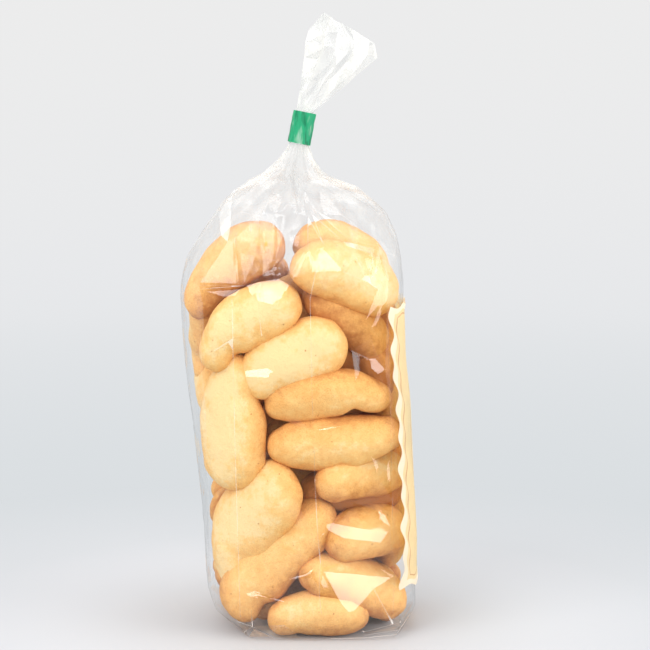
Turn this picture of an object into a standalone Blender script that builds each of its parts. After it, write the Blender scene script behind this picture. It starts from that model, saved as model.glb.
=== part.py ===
"""A clear block-bottom bag packed with lemon biscuits, tied at the neck, with a paper label on one side.

The bag stands on z = 0 with one narrow, gusseted face towards -Y and the label on the +X face.
All lengths are in metres.
"""

import math

import bmesh
import bpy
from mathutils import Matrix, Vector

COLLECTION = "biscuit_bag"
HELPERS = "biscuit_relief"

# The middle of the bag's box before it is moved to the origin.
BOX_MIDDLE = Vector((0.0015, 0.0001, 0.0))

GAP = 0.0003
FILM_CLEARANCE = 0.0006

# The core lies this far behind the film's outline, so that the biscuits stand out of it. The inset
# grows just above the base, and shrinks at the shoulder, where the film is empty: lower down on the
# sides than on the front and back.
CORE_INSET = 0.0080
BASE_RISE = (0.002, 0.011)
SIDE_FALL = (0.152, 0.196)
FRONT_FALL = (0.178, 0.202)
# Sines of the angle off the label's middle between which the inset begins beside the label.
BESIDE_LABEL = (0.50, 0.68)
LABEL_FADE = 0.008

BAG_SIDES = 48
RING_SPACING = 0.0065
SHARP_ANGLE = math.radians(32)

# Film outline from the base to the neck: height, middle in x, half width in x, half depth in y,
# and how square the cross-section is.
FILM_STATIONS = (
    (0.000, 0.0115, 0.0370, 0.0400, 6.0),
    (0.004, 0.0105, 0.0440, 0.0420, 5.0),
    (0.010, 0.0078, 0.0482, 0.0440, 4.2),
    (0.024, 0.0059, 0.0500, 0.0455, 3.9),
    (0.045, 0.0052, 0.0505, 0.0465, 3.9),
    (0.078, 0.0030, 0.0510, 0.0468, 3.9),
    (0.107, 0.0005, 0.0520, 0.0470, 3.9),
    (0.134, -0.0022, 0.0522, 0.0470, 3.9),
    (0.160, -0.0033, 0.0527, 0.0467, 3.7),
    (0.170, -0.0033, 0.0525, 0.0462, 3.4),
    (0.181, -0.0010, 0.0492, 0.0442, 3.0),
    (0.195, 0.0010, 0.0425, 0.0390, 2.5),
    (0.203, 0.0001, 0.0353, 0.0332, 2.3),
    (0.209, -0.0008, 0.0265, 0.0258, 2.1),
    (0.214, -0.0028, 0.0155, 0.0165, 2.0),
    (0.219, -0.0018, 0.0100, 0.0105, 2.0),
    (0.225, -0.0008, 0.0062, 0.0065, 2.0),
    (0.230, 0.0000, 0.0044, 0.0044, 2.0),
    (0.2373, 0.0014, 0.0042, 0.0042, 2.0),
)
PLEATS = 12
PLEAT_DEPTH = 0.10
PLEATS_FROM = 0.185

TIE_BOTTOM = Vector((0.0000, 0.0, 0.2302))
TIE_TOP = Vector((0.0029, 0.0, 0.2450))
TIE_RADIUS = 0.0049
TIE_THICKNESS = 0.0003
TIE_TURNS = 1.12
TIE_STEP = 0.0007
TIE_SEGMENTS = 40
TIE_START = math.radians(-54)

# The tuft above the tie: left and right ends of each section as (x, z), and its half depth in y.
TUFT_SECTIONS = (
    ((-0.0028, 0.2377), (0.0056, 0.2377), 0.0042),
    ((-0.0013, 0.2468), (0.0072, 0.2452), 0.0042),
    ((-0.0008, 0.2500), (0.0108, 0.2474), 0.0052),
    ((0.0002, 0.2580), (0.0160, 0.2520), 0.0070),
    ((0.0012, 0.2670), (0.0240, 0.2590), 0.0095),
    ((0.0021, 0.2765), (0.0366, 0.2685), 0.0105),
    ((0.0031, 0.2835), (0.0394, 0.2753), 0.0080),
    ((0.0116, 0.2920), (0.0250, 0.2840), 0.0025),
)
TUFT_SIDES = 30
TUFT_PLEATS = 5
TUFT_PLEAT_DEPTH = 0.24

LABEL_BOTTOM = 0.024
LABEL_TOP = 0.156
LABEL_HALF_WIDTH = 0.0385
LABEL_THICKNESS = 0.0005
LABEL_WAVE = 0.0013
LABEL_COLUMNS = 14
LABEL_ROWS = 24
# Lengths over which the wave of the label's edge turns by one radian.
WAVE_LENGTHS = (0.0022, 0.0041)

BISCUIT_SECTIONS = 12
BISCUIT_SIDES = 10
BISCUIT_THICKNESS = 0.0200
BISCUIT_CROWN = 0.58
# How far a biscuit turns with the film's bearing, how near a corner it may start, and the share
# of a face's width that it may reach.
FOLLOW_FILM = 0.6
CORNER_LIMIT = 0.85
FACE_SHARE = 0.96

# Forms of biscuit: sideways bend of the tail, arch of the whole, depth and place of the inner
# notch, depth of the outer one, and how much narrower the tail is. The place runs from -1 at the
# tail to 1 at the head, and the rest are shares of the length.
FORMS = {
    "comma": (0.105, 0.020, 0.062, -0.42, 0.000, 0.10),
    "hook": (0.070, 0.045, 0.055, -0.40, 0.012, 0.14),
    "peanut": (-0.060, 0.005, 0.048, -0.06, 0.000, 0.14),
    "pear": (0.030, 0.010, 0.040, -0.38, 0.000, 0.24),
    "boot": (0.020, 0.020, 0.050, -0.58, 0.000, -0.14),
    "arch": (0.040, 0.120, 0.010, -0.40, 0.000, 0.06),
    "plump": (0.030, 0.030, 0.012, -0.40, 0.000, 0.06),
}

# Biscuits against each face of the bag, as a viewer of that face sees them: place across, height,
# turn in degrees, how far the top is turned to the viewer (0 lying flat, 90 facing out), length,
# width, form, and how far it lies back from the film. A negative width mirrors the form.
FRONT = (
    (-0.0306, 0.1738, 32, 62, 0.063, 0.033, "arch", 0.000),
    (0.0209, 0.1785, -26, 60, 0.054, 0.028, "arch", 0.015),
    (0.0227, 0.1690, -22, 80, 0.0575, 0.030, "plump", 0.000),
    (-0.0234, 0.1487, 29, 84, 0.0545, 0.029, "comma", 0.000),
    (-0.0022, 0.1325, 22, 88, 0.0520, 0.031, "plump", 0.001),
    (0.0250, 0.1500, -37, 58, 0.0520, 0.025, "plump", 0.011),
    (0.0330, 0.1260, -20, 50, 0.054, 0.026, "plump", 0.022),
    (0.0132, 0.1155, 187, 66, 0.0585, -0.0235, "hook", 0.002),
    (0.0172, 0.0915, 181, 76, 0.0625, -0.0255, "peanut", 0.001),
    (-0.0299, 0.1010, 271, 88, 0.0645, -0.0346, "pear", 0.004),
    (0.0304, 0.0755, 2, 58, 0.050, 0.0250, "plump", 0.003),
    (-0.0216, 0.0546, 51, 84, 0.0665, 0.0385, "comma", 0.001),
    (-0.0101, 0.0370, 46, 80, 0.0715, 0.030, "boot", 0.004),
    (0.0314, 0.0479, 3, 74, 0.0440, 0.0265, "plump", 0.003),
    (0.0256, 0.0240, -24, 50, 0.0550, 0.028, "plump", 0.003),
    (0.0095, 0.0125, 0, 62, 0.048, 0.026, "plump", 0.003),
)
BACK = (
    (-0.0240, 0.1600, 25, 62, 0.060, 0.028, "arch", 0.000),
    (0.0220, 0.1620, -28, 70, 0.060, 0.028, "hook", 0.001),
    (-0.0280, 0.1380, -78, 86, 0.062, 0.031, "plump", 0.000),
    (0.0130, 0.1460, 12, 80, 0.062, 0.029, "comma", 0.000),
    (0.0180, 0.1220, -10, 74, 0.062, 0.027, "peanut", 0.002),
    (0.0120, 0.0980, 6, 66, 0.062, 0.026, "hook", 0.000),
    (-0.0280, 0.0900, 66, 84, 0.064, 0.031, "comma", 0.000),
    (0.0210, 0.0740, -14, 72, 0.060, 0.027, "plump", 0.001),
    (-0.0120, 0.0550, -34, 80, 0.064, 0.029, "hook", 0.000),
    (0.0270, 0.0470, 38, 78, 0.058, 0.028, "plump", 0.003),
    (-0.0210, 0.0220, 8, 62, 0.060, 0.028, "peanut", 0.002),
    (0.0150, 0.0180, -6, 58, 0.058, 0.027, "plump", 0.001),
)
LEFT = (
    (-0.0060, 0.1490, 62, 80, 0.058, 0.028, "hook", 0.001),
    (-0.0020, 0.1320, 24, 70, 0.056, 0.026, "plump", 0.014),
    (-0.0080, 0.1180, -58, 78, 0.060, 0.028, "comma", 0.001),
    (-0.0040, 0.0890, 60, 80, 0.060, 0.028, "plump", 0.001),
    (-0.0080, 0.0600, -50, 76, 0.060, 0.028, "comma", 0.005),
    (-0.0060, 0.0330, 30, 70, 0.056, 0.027, "peanut", 0.002),
    (-0.0040, 0.0140, 0, 55, 0.052, 0.026, "plump", 0.004),
)
RIGHT = (
    (0.0180, 0.1590, -30, 70, 0.056, 0.028, "plump", 0.002),
    (0.0000, 0.1400, 60, 76, 0.058, 0.027, "hook", 0.002),
    (0.0000, 0.1080, -55, 76, 0.058, 0.027, "peanut", 0.002),
    (0.0000, 0.0760, 58, 76, 0.058, 0.027, "comma", 0.002),
    (0.0000, 0.0450, -50, 76, 0.056, 0.027, "plump", 0.002),
    (0.0040, 0.0160, 0, 58, 0.054, 0.027, "plump", 0.002),
)
FACES = ((0, FRONT), (90, RIGHT), (180, BACK), (270, LEFT))

FILM_COLOUR = (0.93, 0.72, 0.42)
CLEAR_COLOUR = (0.90, 0.91, 0.92)
TIE_COLOUR = (0.03, 0.42, 0.20)
LABEL_COLOUR = (0.91, 0.78, 0.53)


def clear_scene():
    for item in list(bpy.data.objects):
        bpy.data.objects.remove(item)


def new_collection(name):
    collection = bpy.data.collections.new(name)
    bpy.context.scene.collection.children.link(collection)
    return collection


def material(name, colour, roughness):
    made = bpy.data.materials.new(name)
    made.use_nodes = True
    shader = made.node_tree.nodes["Principled BSDF"]
    shader.inputs["Base Color"].default_value = (*colour, 1.0)
    shader.inputs["Roughness"].default_value = roughness
    made.diffuse_color = (*colour, 1.0)
    return made


def smooth_step(low, high, value):
    share = min(max((value - low) / (high - low), 0.0), 1.0)
    return share * share * (3.0 - 2.0 * share)


def film_at(height):
    """Middle, half width, half depth and squareness of the film's cross-section at a height."""
    rows = FILM_STATIONS
    index = 0
    while index < len(rows) - 2 and rows[index + 1][0] < height:
        index += 1
    before = rows[max(index - 1, 0)]
    low = rows[index]
    high = rows[index + 1]
    after = rows[min(index + 2, len(rows) - 1)]
    span = high[0] - low[0]
    share = min(max((height - low[0]) / span, 0.0), 1.0)
    found = []
    for column in range(1, 5):
        slope_low = (high[column] - before[column]) / (high[0] - before[0]) * span
        slope_high = (after[column] - low[column]) / (after[0] - low[0]) * span
        step = high[column] - low[column]
        bend = 3.0 * step - 2.0 * slope_low - slope_high
        twist = slope_low + slope_high - 2.0 * step
        found.append(low[column] + share * (slope_low + share * (bend + share * twist)))
    return found


def link_mesh(cage, name, collection, finish):
    mesh = bpy.data.meshes.new(name)
    bmesh.ops.recalc_face_normals(cage, faces=cage.faces)
    bmesh.ops.translate(cage, verts=cage.verts, vec=-BOX_MIDDLE)
    cage.to_mesh(mesh)
    cage.free()
    mesh.materials.append(finish)
    made = bpy.data.objects.new(name, mesh)
    collection.objects.link(made)
    return made


def loft(rings, name, collection, finish):
    """A closed solid through rings of equal point counts, with a flat face at each end."""
    cage = bmesh.new()
    rows = [[cage.verts.new(point) for point in ring] for ring in rings]
    count = len(rows[0])
    for lower, upper in zip(rows, rows[1:]):
        for side in range(count):
            after = (side + 1) % count
            cage.faces.new((lower[side], lower[after], upper[after], upper[side]))
    cage.faces.new(rows[0])
    cage.faces.new(rows[-1])
    return link_mesh(cage, name, collection, finish)


def biscuit_width(along, length, width, form):
    """Lower and upper edge of a biscuit's plan, at a place from -1 (tail) to 1 (head)."""
    tail_bend, arch, notch, notch_place, outer_notch, tail_taper = FORMS[form]
    tail = 1.0 - smooth_step(-0.95, 0.0, along)
    cap = max(1.0 - abs(along) ** 3.2, 0.0) ** 0.45
    half = 0.5 * width * cap * (1.0 - tail_taper * tail)
    middle = -tail_bend * length * tail**1.4 - arch * length * (along * along - 0.3)
    dip = notch * length * math.exp(-(((along - notch_place) / 0.14) ** 2))
    outer_dip = outer_notch * length * math.exp(-(((along + 0.28) / 0.22) ** 2))
    return middle - half + dip, middle + half - outer_dip, cap * (1.0 - 0.5 * tail_taper * tail)


def biscuit_cage(length, width, form):
    """A domed biscuit with a flatter underside, lying along x with its top towards +Z."""
    mirror = -1.0 if width < 0 else 1.0
    cage = bmesh.new()
    bmesh.ops.create_uvsphere(cage, u_segments=BISCUIT_SIDES, v_segments=BISCUIT_SECTIONS, radius=1.0)
    for vert in cage.verts:
        along = max(min(vert.co.z, 1.0), -1.0)
        around = math.atan2(vert.co.y, vert.co.x)
        if abs(along) > 0.9999:
            around = 0.5 * math.pi
        low, high, cap = biscuit_width(along, length, abs(width), form)
        crown = BISCUIT_CROWN if math.sin(around) > 0 else 1.0 - BISCUIT_CROWN
        crown *= BISCUIT_THICKNESS * cap**0.85
        side = 0.5 * (low + high) + 0.5 * (high - low) * math.cos(around)
        vert.co = (0.5 * length * along, mirror * side, crown * math.sin(around))
    return cage


def film_normal(point):
    """Level direction out of the film at the height and bearing of a point."""
    middle, half_width, half_depth, square = film_at(point.z)
    across = (point.x - middle) / half_width
    deep = point.y / half_depth
    slope_x = math.copysign(abs(across) ** (square - 1.0), across) / half_width
    slope_y = math.copysign(abs(deep) ** (square - 1.0), deep) / half_depth
    return Vector((slope_x, slope_y, 0.0)).normalized()


def biscuit_start(heading, across, height):
    """A place a biscuit's half thickness behind the film, for a viewer of one face of the bag."""
    middle, half_width, half_depth, square = film_at(height)
    about = Matrix.Rotation(math.radians(heading), 4, "Z")
    place = about @ Vector((across, 0.0, 0.0))
    outward = about @ Vector((0.0, -1.0, 0.0))
    if abs(outward.y) > 0.5:
        share = min(abs(place.x - middle) / (half_width - BISCUIT_THICKNESS), CORNER_LIMIT)
        place.y = outward.y * (half_depth - BISCUIT_THICKNESS) * (1.0 - share**square) ** (1.0 / square)
    else:
        share = min(abs(place.y) / (half_depth - BISCUIT_THICKNESS), CORNER_LIMIT)
        reach = (half_width - BISCUIT_THICKNESS) * (1.0 - share**square) ** (1.0 / square)
        place.x = middle + outward.x * reach
    place.z = height
    return place


def seen_from(spot, heading):
    """A point as a viewer of one face sees it, and the film's half width, half depth and squareness."""
    middle, half_width, half_depth, square = film_at(spot.z)
    turned = Matrix.Rotation(-math.radians(heading), 3, "Z") @ (spot - Vector((middle, 0.0, 0.0)))
    if heading % 180:
        half_width, half_depth = half_depth, half_width
    return turned, half_width, half_depth, square


def gap_ahead(spot, heading):
    """How far a point could move straight out of one face of the bag before it reaches the film."""
    turned, half_width, half_depth, square = seen_from(spot, heading)
    share = min(abs(turned.x) / (half_width - FILM_CLEARANCE), 1.0)
    return (half_depth - FILM_CLEARANCE) * (1.0 - share**square) ** (1.0 / square) + turned.y


def beyond_face(spot, heading):
    """How far a point lies right of what biscuits may fill of one face, or left of it if negative."""
    turned, half_width, _, _ = seen_from(spot, heading)
    return math.copysign(max(abs(turned.x) - FACE_SHARE * half_width, 0.0), turned.x)


def biscuit(name, heading, row, collection, finish):
    """A biscuit set against the film, or the stated distance back from it."""
    across, height, turn, facing, length, width, form, behind = row
    cage = biscuit_cage(length, width, form)
    place = biscuit_start(heading, across, height)
    normal = film_normal(place)
    bearing = math.atan2(normal.y, normal.x) - math.radians(heading - 90)
    yaw = FOLLOW_FILM * math.remainder(bearing, 2.0 * math.pi)
    rotation = Matrix.Rotation(math.radians(heading) + yaw, 4, "Z")
    rotation @= Matrix.Rotation(-math.radians(turn), 4, "Y")
    rotation @= Matrix.Rotation(math.radians(facing), 4, "X")
    spots = [rotation @ vert.co for vert in cage.verts]
    lowest = min(spot.z for spot in spots) + place.z
    place.z += max(FILM_CLEARANCE - lowest, 0.0)
    aside = Matrix.Rotation(math.radians(heading), 3, "Z") @ Vector((1.0, 0.0, 0.0))
    beyond = [beyond_face(spot + place, heading) for spot in spots]
    place -= aside * (max(beyond) + min(beyond))
    gap = min(gap_ahead(spot + place, heading) for spot in spots)
    outward = Vector((aside.y, -aside.x, 0.0))
    place += outward * (gap - behind)
    for vert, spot in zip(cage.verts, spots):
        vert.co = spot + place
    return link_mesh(cage, name, collection, finish)


def inset_share(height, around):
    """How much of the core's inset applies: none at the base, at the shoulder and under the label."""
    beside = smooth_step(*BESIDE_LABEL, abs(math.sin(around)))
    side_fall = smooth_step(*SIDE_FALL, height)
    front_fall = smooth_step(*FRONT_FALL, height)
    fall = side_fall + (front_fall - side_fall) * beside
    body = smooth_step(*BASE_RISE, height) * (1.0 - fall)
    if math.cos(around) < 0.0:
        beside = 1.0
    above = smooth_step(LABEL_TOP, LABEL_TOP + LABEL_FADE, height)
    below = 1.0 - smooth_step(LABEL_BOTTOM - LABEL_FADE, LABEL_BOTTOM, height)
    return body * max(beside, above, below)


def bag_ring(height):
    middle, half_width, half_depth, square = film_at(height)
    clearance = FILM_CLEARANCE * (1.0 - smooth_step(*SIDE_FALL, height))
    gather = smooth_step(PLEATS_FROM, FILM_STATIONS[-4][0], height)
    gather *= 1.0 - smooth_step(FILM_STATIONS[-3][0], FILM_STATIONS[-2][0], height)
    ring = []
    for side in range(BAG_SIDES):
        around = 2.0 * math.pi * side / BAG_SIDES
        inset = clearance + CORE_INSET * inset_share(height, around)
        fold = 1.0 - PLEAT_DEPTH * gather * 0.5 * (1.0 - math.cos(PLEATS * around))
        cosine = math.cos(around)
        sine = math.sin(around)
        across = math.copysign(abs(cosine) ** (2.0 / square), cosine) * (half_width - inset) * fold
        deep = math.copysign(abs(sine) ** (2.0 / square), sine) * (half_depth - inset) * fold
        ring.append((middle + across, deep, height))
    return ring


def bag_levels():
    """Heights of the rings: every station, and evenly between stations that lie far apart."""
    heights = [station[0] for station in FILM_STATIONS]
    filled = []
    for low, high in zip(heights, heights[1:]):
        parts = max(1, round((high - low) / RING_SPACING))
        filled += [low + (high - low) * part / parts for part in range(parts)]
    return filled + [heights[-1]]


def bag(collection, helpers):
    """The film from the base to the neck as one solid, with the biscuits inside it as relief."""
    finish = material("bag_filled", FILM_COLOUR, 0.45)
    body = loft([bag_ring(height) for height in bag_levels()], "bag", collection, finish)
    for heading, rows in FACES:
        for number, row in enumerate(rows):
            biscuit(f"biscuit_{heading}_{number}", heading, row, helpers, finish)
    joined = body.modifiers.new("biscuits", "BOOLEAN")
    joined.operation = "UNION"
    joined.operand_type = "COLLECTION"
    joined.collection = helpers
    joined.solver = "EXACT"
    joined.use_self = True
    graph = bpy.context.evaluated_depsgraph_get()
    whole = bpy.data.meshes.new_from_object(body.evaluated_get(graph))
    body.modifiers.clear()
    body.data = whole
    for item in list(helpers.objects):
        bpy.data.objects.remove(item)
    whole.name = "bag"
    whole.shade_smooth()
    whole.set_sharp_from_angle(angle=SHARP_ANGLE)
    return body


def bag_top(collection):
    """The open end of the bag above the tie, fanned out and leaning to +X."""
    finish = material("bag_top_film", CLEAR_COLOUR, 0.2)
    rings = []
    for number, (left, right, half_depth) in enumerate(TUFT_SECTIONS):
        spread = smooth_step(0.5, 3.0, number)
        start = Vector((left[0], 0.0, left[1]))
        end = Vector((right[0], 0.0, right[1]))
        ring = []
        for side in range(TUFT_SIDES):
            around = 2.0 * math.pi * side / TUFT_SIDES
            fold = 1.0 + TUFT_PLEAT_DEPTH * spread * math.cos(TUFT_PLEATS * around + 0.6 * number)
            point = start.lerp(end, 0.5 + 0.5 * math.cos(around))
            point.y = half_depth * math.sin(around) * fold
            ring.append(point)
        rings.append(ring)
    return loft(rings, "bag_top", collection, finish)


def tie(collection):
    """Green tape wound a little over one turn round the neck."""
    finish = material("tie_tape", TIE_COLOUR, 0.35)
    cage = bmesh.new()
    axis = TIE_TOP - TIE_BOTTOM
    lean = Vector((0.0, 0.0, 1.0)).rotation_difference(axis)
    lower = []
    upper = []
    for step in range(TIE_SEGMENTS + 1):
        turns = TIE_TURNS * step / TIE_SEGMENTS
        around = TIE_START + 2.0 * math.pi * turns
        radius = TIE_RADIUS + TIE_STEP * turns
        rim = lean @ Vector((radius * math.cos(around), radius * math.sin(around), 0.0))
        lower.append(cage.verts.new(TIE_BOTTOM + rim))
        upper.append(cage.verts.new(TIE_TOP + rim))
    for step in range(TIE_SEGMENTS):
        cage.faces.new((lower[step], lower[step + 1], upper[step + 1], upper[step]))
    band = link_mesh(cage, "tie", collection, finish)
    thick = band.modifiers.new("tape", "SOLIDIFY")
    thick.thickness = TIE_THICKNESS
    thick.offset = 0.0
    return band


def label_x(deep, height):
    """Where the film's +X side lies at a depth and height."""
    middle, half_width, half_depth, square = film_at(height)
    share = min(abs(deep) / half_depth, 0.98)
    return middle + half_width * (1.0 - share**square) ** (1.0 / square)


def edge_wave(place):
    """The wavy outline of the label's edge, about one wave every 14 mm."""
    short, long = WAVE_LENGTHS
    return LABEL_WAVE * (0.62 * math.sin(place / short) + 0.38 * math.sin(place / long + 1.0))


def label(collection):
    """A sheet of paper with wavy edges, lying on the film of the +X face."""
    finish = material("label_paper", LABEL_COLOUR, 0.7)
    cage = bmesh.new()
    grid = []
    for row in range(LABEL_ROWS + 1):
        level = LABEL_BOTTOM + (LABEL_TOP - LABEL_BOTTOM) * row / LABEL_ROWS
        line = []
        for column in range(LABEL_COLUMNS + 1):
            share = 2.0 * column / LABEL_COLUMNS - 1.0
            deep = share * (LABEL_HALF_WIDTH + edge_wave(level + 0.05 * share))
            rise = 2.0 * row / LABEL_ROWS - 1.0
            height = level + rise * abs(rise) ** 3 * edge_wave(deep + 0.1)
            away = label_x(deep, height) + GAP + 0.5 * LABEL_THICKNESS
            line.append(cage.verts.new((away, deep, height)))
        grid.append(line)
    for lower, upper in zip(grid, grid[1:]):
        for column in range(LABEL_COLUMNS):
            cage.faces.new((lower[column], lower[column + 1], upper[column + 1], upper[column]))
    paper = link_mesh(cage, "label", collection, finish)
    thick = paper.modifiers.new("paper", "SOLIDIFY")
    thick.thickness = LABEL_THICKNESS
    thick.offset = 0.0
    return paper


def main():
    clear_scene()
    parts = new_collection(COLLECTION)
    helpers = new_collection(HELPERS)
    bag(parts, helpers)
    bag_top(parts)
    tie(parts)
    label(parts)


main()
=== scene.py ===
"""Looks of a clear block-bottom bag of lemon biscuits, tied at the neck, with a paper label.

Run as a script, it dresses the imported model; each step is also an operator in the sidebar.
All lengths are in metres. The bag's own frame is the solids' frame before its box was centred on the
origin, and BOX_MIDDLE is the shift between the two.
"""

import bisect
import functools
import itertools
import math
import random

import bmesh
import bpy
from bpy.props import FloatProperty, FloatVectorProperty, IntProperty, PointerProperty
from mathutils import Matrix, Vector, geometry, noise
from mathutils.bvhtree import BVHTree


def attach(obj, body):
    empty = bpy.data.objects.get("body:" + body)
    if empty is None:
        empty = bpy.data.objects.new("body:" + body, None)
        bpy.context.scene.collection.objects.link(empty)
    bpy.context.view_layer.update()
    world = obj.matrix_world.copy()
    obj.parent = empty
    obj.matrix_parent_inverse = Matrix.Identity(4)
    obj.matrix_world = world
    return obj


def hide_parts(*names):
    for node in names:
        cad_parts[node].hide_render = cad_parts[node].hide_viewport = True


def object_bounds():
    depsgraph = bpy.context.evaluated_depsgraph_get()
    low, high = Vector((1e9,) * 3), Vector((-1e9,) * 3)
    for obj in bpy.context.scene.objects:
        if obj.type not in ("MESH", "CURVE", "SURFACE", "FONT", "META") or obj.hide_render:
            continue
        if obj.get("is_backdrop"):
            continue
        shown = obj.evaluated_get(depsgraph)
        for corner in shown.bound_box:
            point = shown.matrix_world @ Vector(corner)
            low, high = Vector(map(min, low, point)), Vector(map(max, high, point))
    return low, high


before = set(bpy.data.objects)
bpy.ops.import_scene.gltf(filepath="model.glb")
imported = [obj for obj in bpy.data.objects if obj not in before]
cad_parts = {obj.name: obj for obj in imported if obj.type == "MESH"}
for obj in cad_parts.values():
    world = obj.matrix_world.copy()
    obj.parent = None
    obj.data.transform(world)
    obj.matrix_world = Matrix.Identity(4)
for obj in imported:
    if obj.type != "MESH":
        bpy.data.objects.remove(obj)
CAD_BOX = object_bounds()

bl_info = {
    "name": "Biscuit Bag",
    "version": (1, 0, 0),
    "blender": (4, 5, 0),
    "location": "View3D > Sidebar > Biscuit Bag",
    "description": "Dresses a clear bag of lemon biscuits with film, tape and a paper label",
    "category": "Object",
}

BODY = "root"
BOX_MIDDLE = Vector((0.0015, 0.0001, 0.0))

# Film outline from the base to the neck: height, middle in x, half width in x, half depth in y,
# and how square the cross-section is.
FILM_STATIONS = (
    (0.000, 0.0115, 0.0370, 0.0400, 6.0),
    (0.004, 0.0105, 0.0440, 0.0420, 5.0),
    (0.010, 0.0078, 0.0482, 0.0440, 4.2),
    (0.024, 0.0059, 0.0500, 0.0455, 3.9),
    (0.045, 0.0052, 0.0505, 0.0465, 3.9),
    (0.078, 0.0030, 0.0510, 0.0468, 3.9),
    (0.107, 0.0005, 0.0520, 0.0470, 3.9),
    (0.134, -0.0022, 0.0522, 0.0470, 3.9),
    (0.160, -0.0033, 0.0527, 0.0467, 3.7),
    (0.170, -0.0033, 0.0525, 0.0462, 3.4),
    (0.181, -0.0010, 0.0492, 0.0442, 3.0),
    (0.195, 0.0010, 0.0425, 0.0390, 2.5),
    (0.203, 0.0001, 0.0353, 0.0332, 2.3),
    (0.209, -0.0008, 0.0265, 0.0258, 2.1),
    (0.214, -0.0028, 0.0155, 0.0165, 2.0),
    (0.219, -0.0018, 0.0100, 0.0105, 2.0),
    (0.225, -0.0008, 0.0062, 0.0065, 2.0),
    (0.230, 0.0000, 0.0044, 0.0044, 2.0),
    (0.2373, 0.0014, 0.0042, 0.0042, 2.0),
)
NECK_TOP = FILM_STATIONS[-1][0]
FILM_CLEARANCE = 0.0006

TIE_BOTTOM = Vector((0.0000, 0.0, 0.2302))
TIE_TOP = Vector((0.0029, 0.0, 0.2450))
TIE_RADIUS = 0.0049
TIE_TURNS = 1.12
TIE_STEP = 0.0007
TIE_START = math.radians(-54)

# The tuft above the tie: left and right ends of each section as (x, z), and its half depth in y.
TUFT_SECTIONS = (
    ((-0.0028, 0.2377), (0.0056, 0.2377), 0.0042),
    ((-0.0013, 0.2468), (0.0072, 0.2452), 0.0042),
    ((-0.0008, 0.2500), (0.0108, 0.2474), 0.0052),
    ((0.0002, 0.2580), (0.0160, 0.2520), 0.0070),
    ((0.0012, 0.2670), (0.0240, 0.2590), 0.0095),
    ((0.0021, 0.2765), (0.0366, 0.2685), 0.0105),
    ((0.0031, 0.2835), (0.0394, 0.2753), 0.0080),
    ((0.0116, 0.2920), (0.0250, 0.2840), 0.0025),
)

LABEL_BOTTOM = 0.024
LABEL_TOP = 0.156
LABEL_HALF_WIDTH = 0.0385
LABEL_WAVE = 0.0013
LABEL_GAP = 0.0003
# Lengths over which the wave of the label's edge turns by one radian.
WAVE_LENGTHS = (0.0022, 0.0041)
# How far along the wave the two sides and the two ends are from one that starts at the middle.
SIDE_SHIFT = 0.05
END_SHIFT = 0.1
# Steps up the label and across it, the paper's thickness and how far it stands off the solid's gap.
LABEL_ROWS = 132
LABEL_COLUMNS = 76
PAPER_THICKNESS = 0.0003
LABEL_LIFT = 0.0004
# Height of the label's raised border, the distances from the edge between which it slopes down,
# and how far the paper ripples.
BORDER_RISE = 0.0005
BORDER_SLOPE = (0.0016, 0.0030)
PAPER_RIPPLE = 0.0002
# Distances from the label's edge to where the border's colour ends and to the thin line, and half
# that line's width.
BORDER_WIDTH = 0.0026
LINE_INSET = 0.0046
LINE_HALF_WIDTH = 0.00028

BISCUIT_THICKNESS = 0.0200
BISCUIT_CROWN = 0.58
FOLLOW_FILM = 0.6
CORNER_LIMIT = 0.85
FACE_SHARE = 0.96
# Sections and sides of the plain cage that settles a biscuit, and of the fine one that is shown.
PLAIN_CAGE = (12, 10)
FINE_CAGE = (44, 34)
# How brown the crust is at a biscuit's rim, as baked browning and as painted shade where the
# biscuits meet, how much browner below it, and how much less a biscuit's ends rise into the pale
# top, which paints shade on the ends.
RIM_BROWN_AND_SHADE = 0.60
UNDER_BROWN = 0.28
END_PAINTED_SHADE = 0.50
# Spacing of the soft lumps, of the small ones and of the patches that bake browner, as turns of
# noise a metre.
SOFT_LUMPS = 70.0
SMALL_LUMPS = 210.0
BROWN_PATCHES = 55.0
# Height of the small lumps next to the soft ones, and how far all of them are sunk.
SMALL_SHARE = 0.35
LUMP_SINK = 0.3
# How much paler than stated the crust is on the whole, and how much its patches vary.
CRUST_PALER = 0.10
CRUST_VARIES = 0.16
CORE_WIDTH = 0.028

# Forms of biscuit: sideways bend of the tail, arch of the whole, depth and place of the inner
# notch, depth of the outer one, and how much narrower the tail is. The place runs from -1 at the
# tail to 1 at the head, and the rest are shares of the length.
FORMS = {
    "comma": (0.105, 0.020, 0.062, -0.42, 0.000, 0.10),
    "hook": (0.070, 0.045, 0.055, -0.40, 0.012, 0.14),
    "peanut": (-0.060, 0.005, 0.048, -0.06, 0.000, 0.14),
    "pear": (0.030, 0.010, 0.040, -0.38, 0.000, 0.24),
    "boot": (0.020, 0.020, 0.050, -0.58, 0.000, -0.14),
    "arch": (0.040, 0.120, 0.010, -0.40, 0.000, 0.06),
    "plump": (0.030, 0.030, 0.012, -0.40, 0.000, 0.06),
}
# Spread of the inner notch along the biscuit, and place and spread of the outer one.
NOTCH_SPREAD = 0.14
OUTER_NOTCH_PLACE = -0.28
OUTER_NOTCH_SPREAD = 0.22
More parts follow.
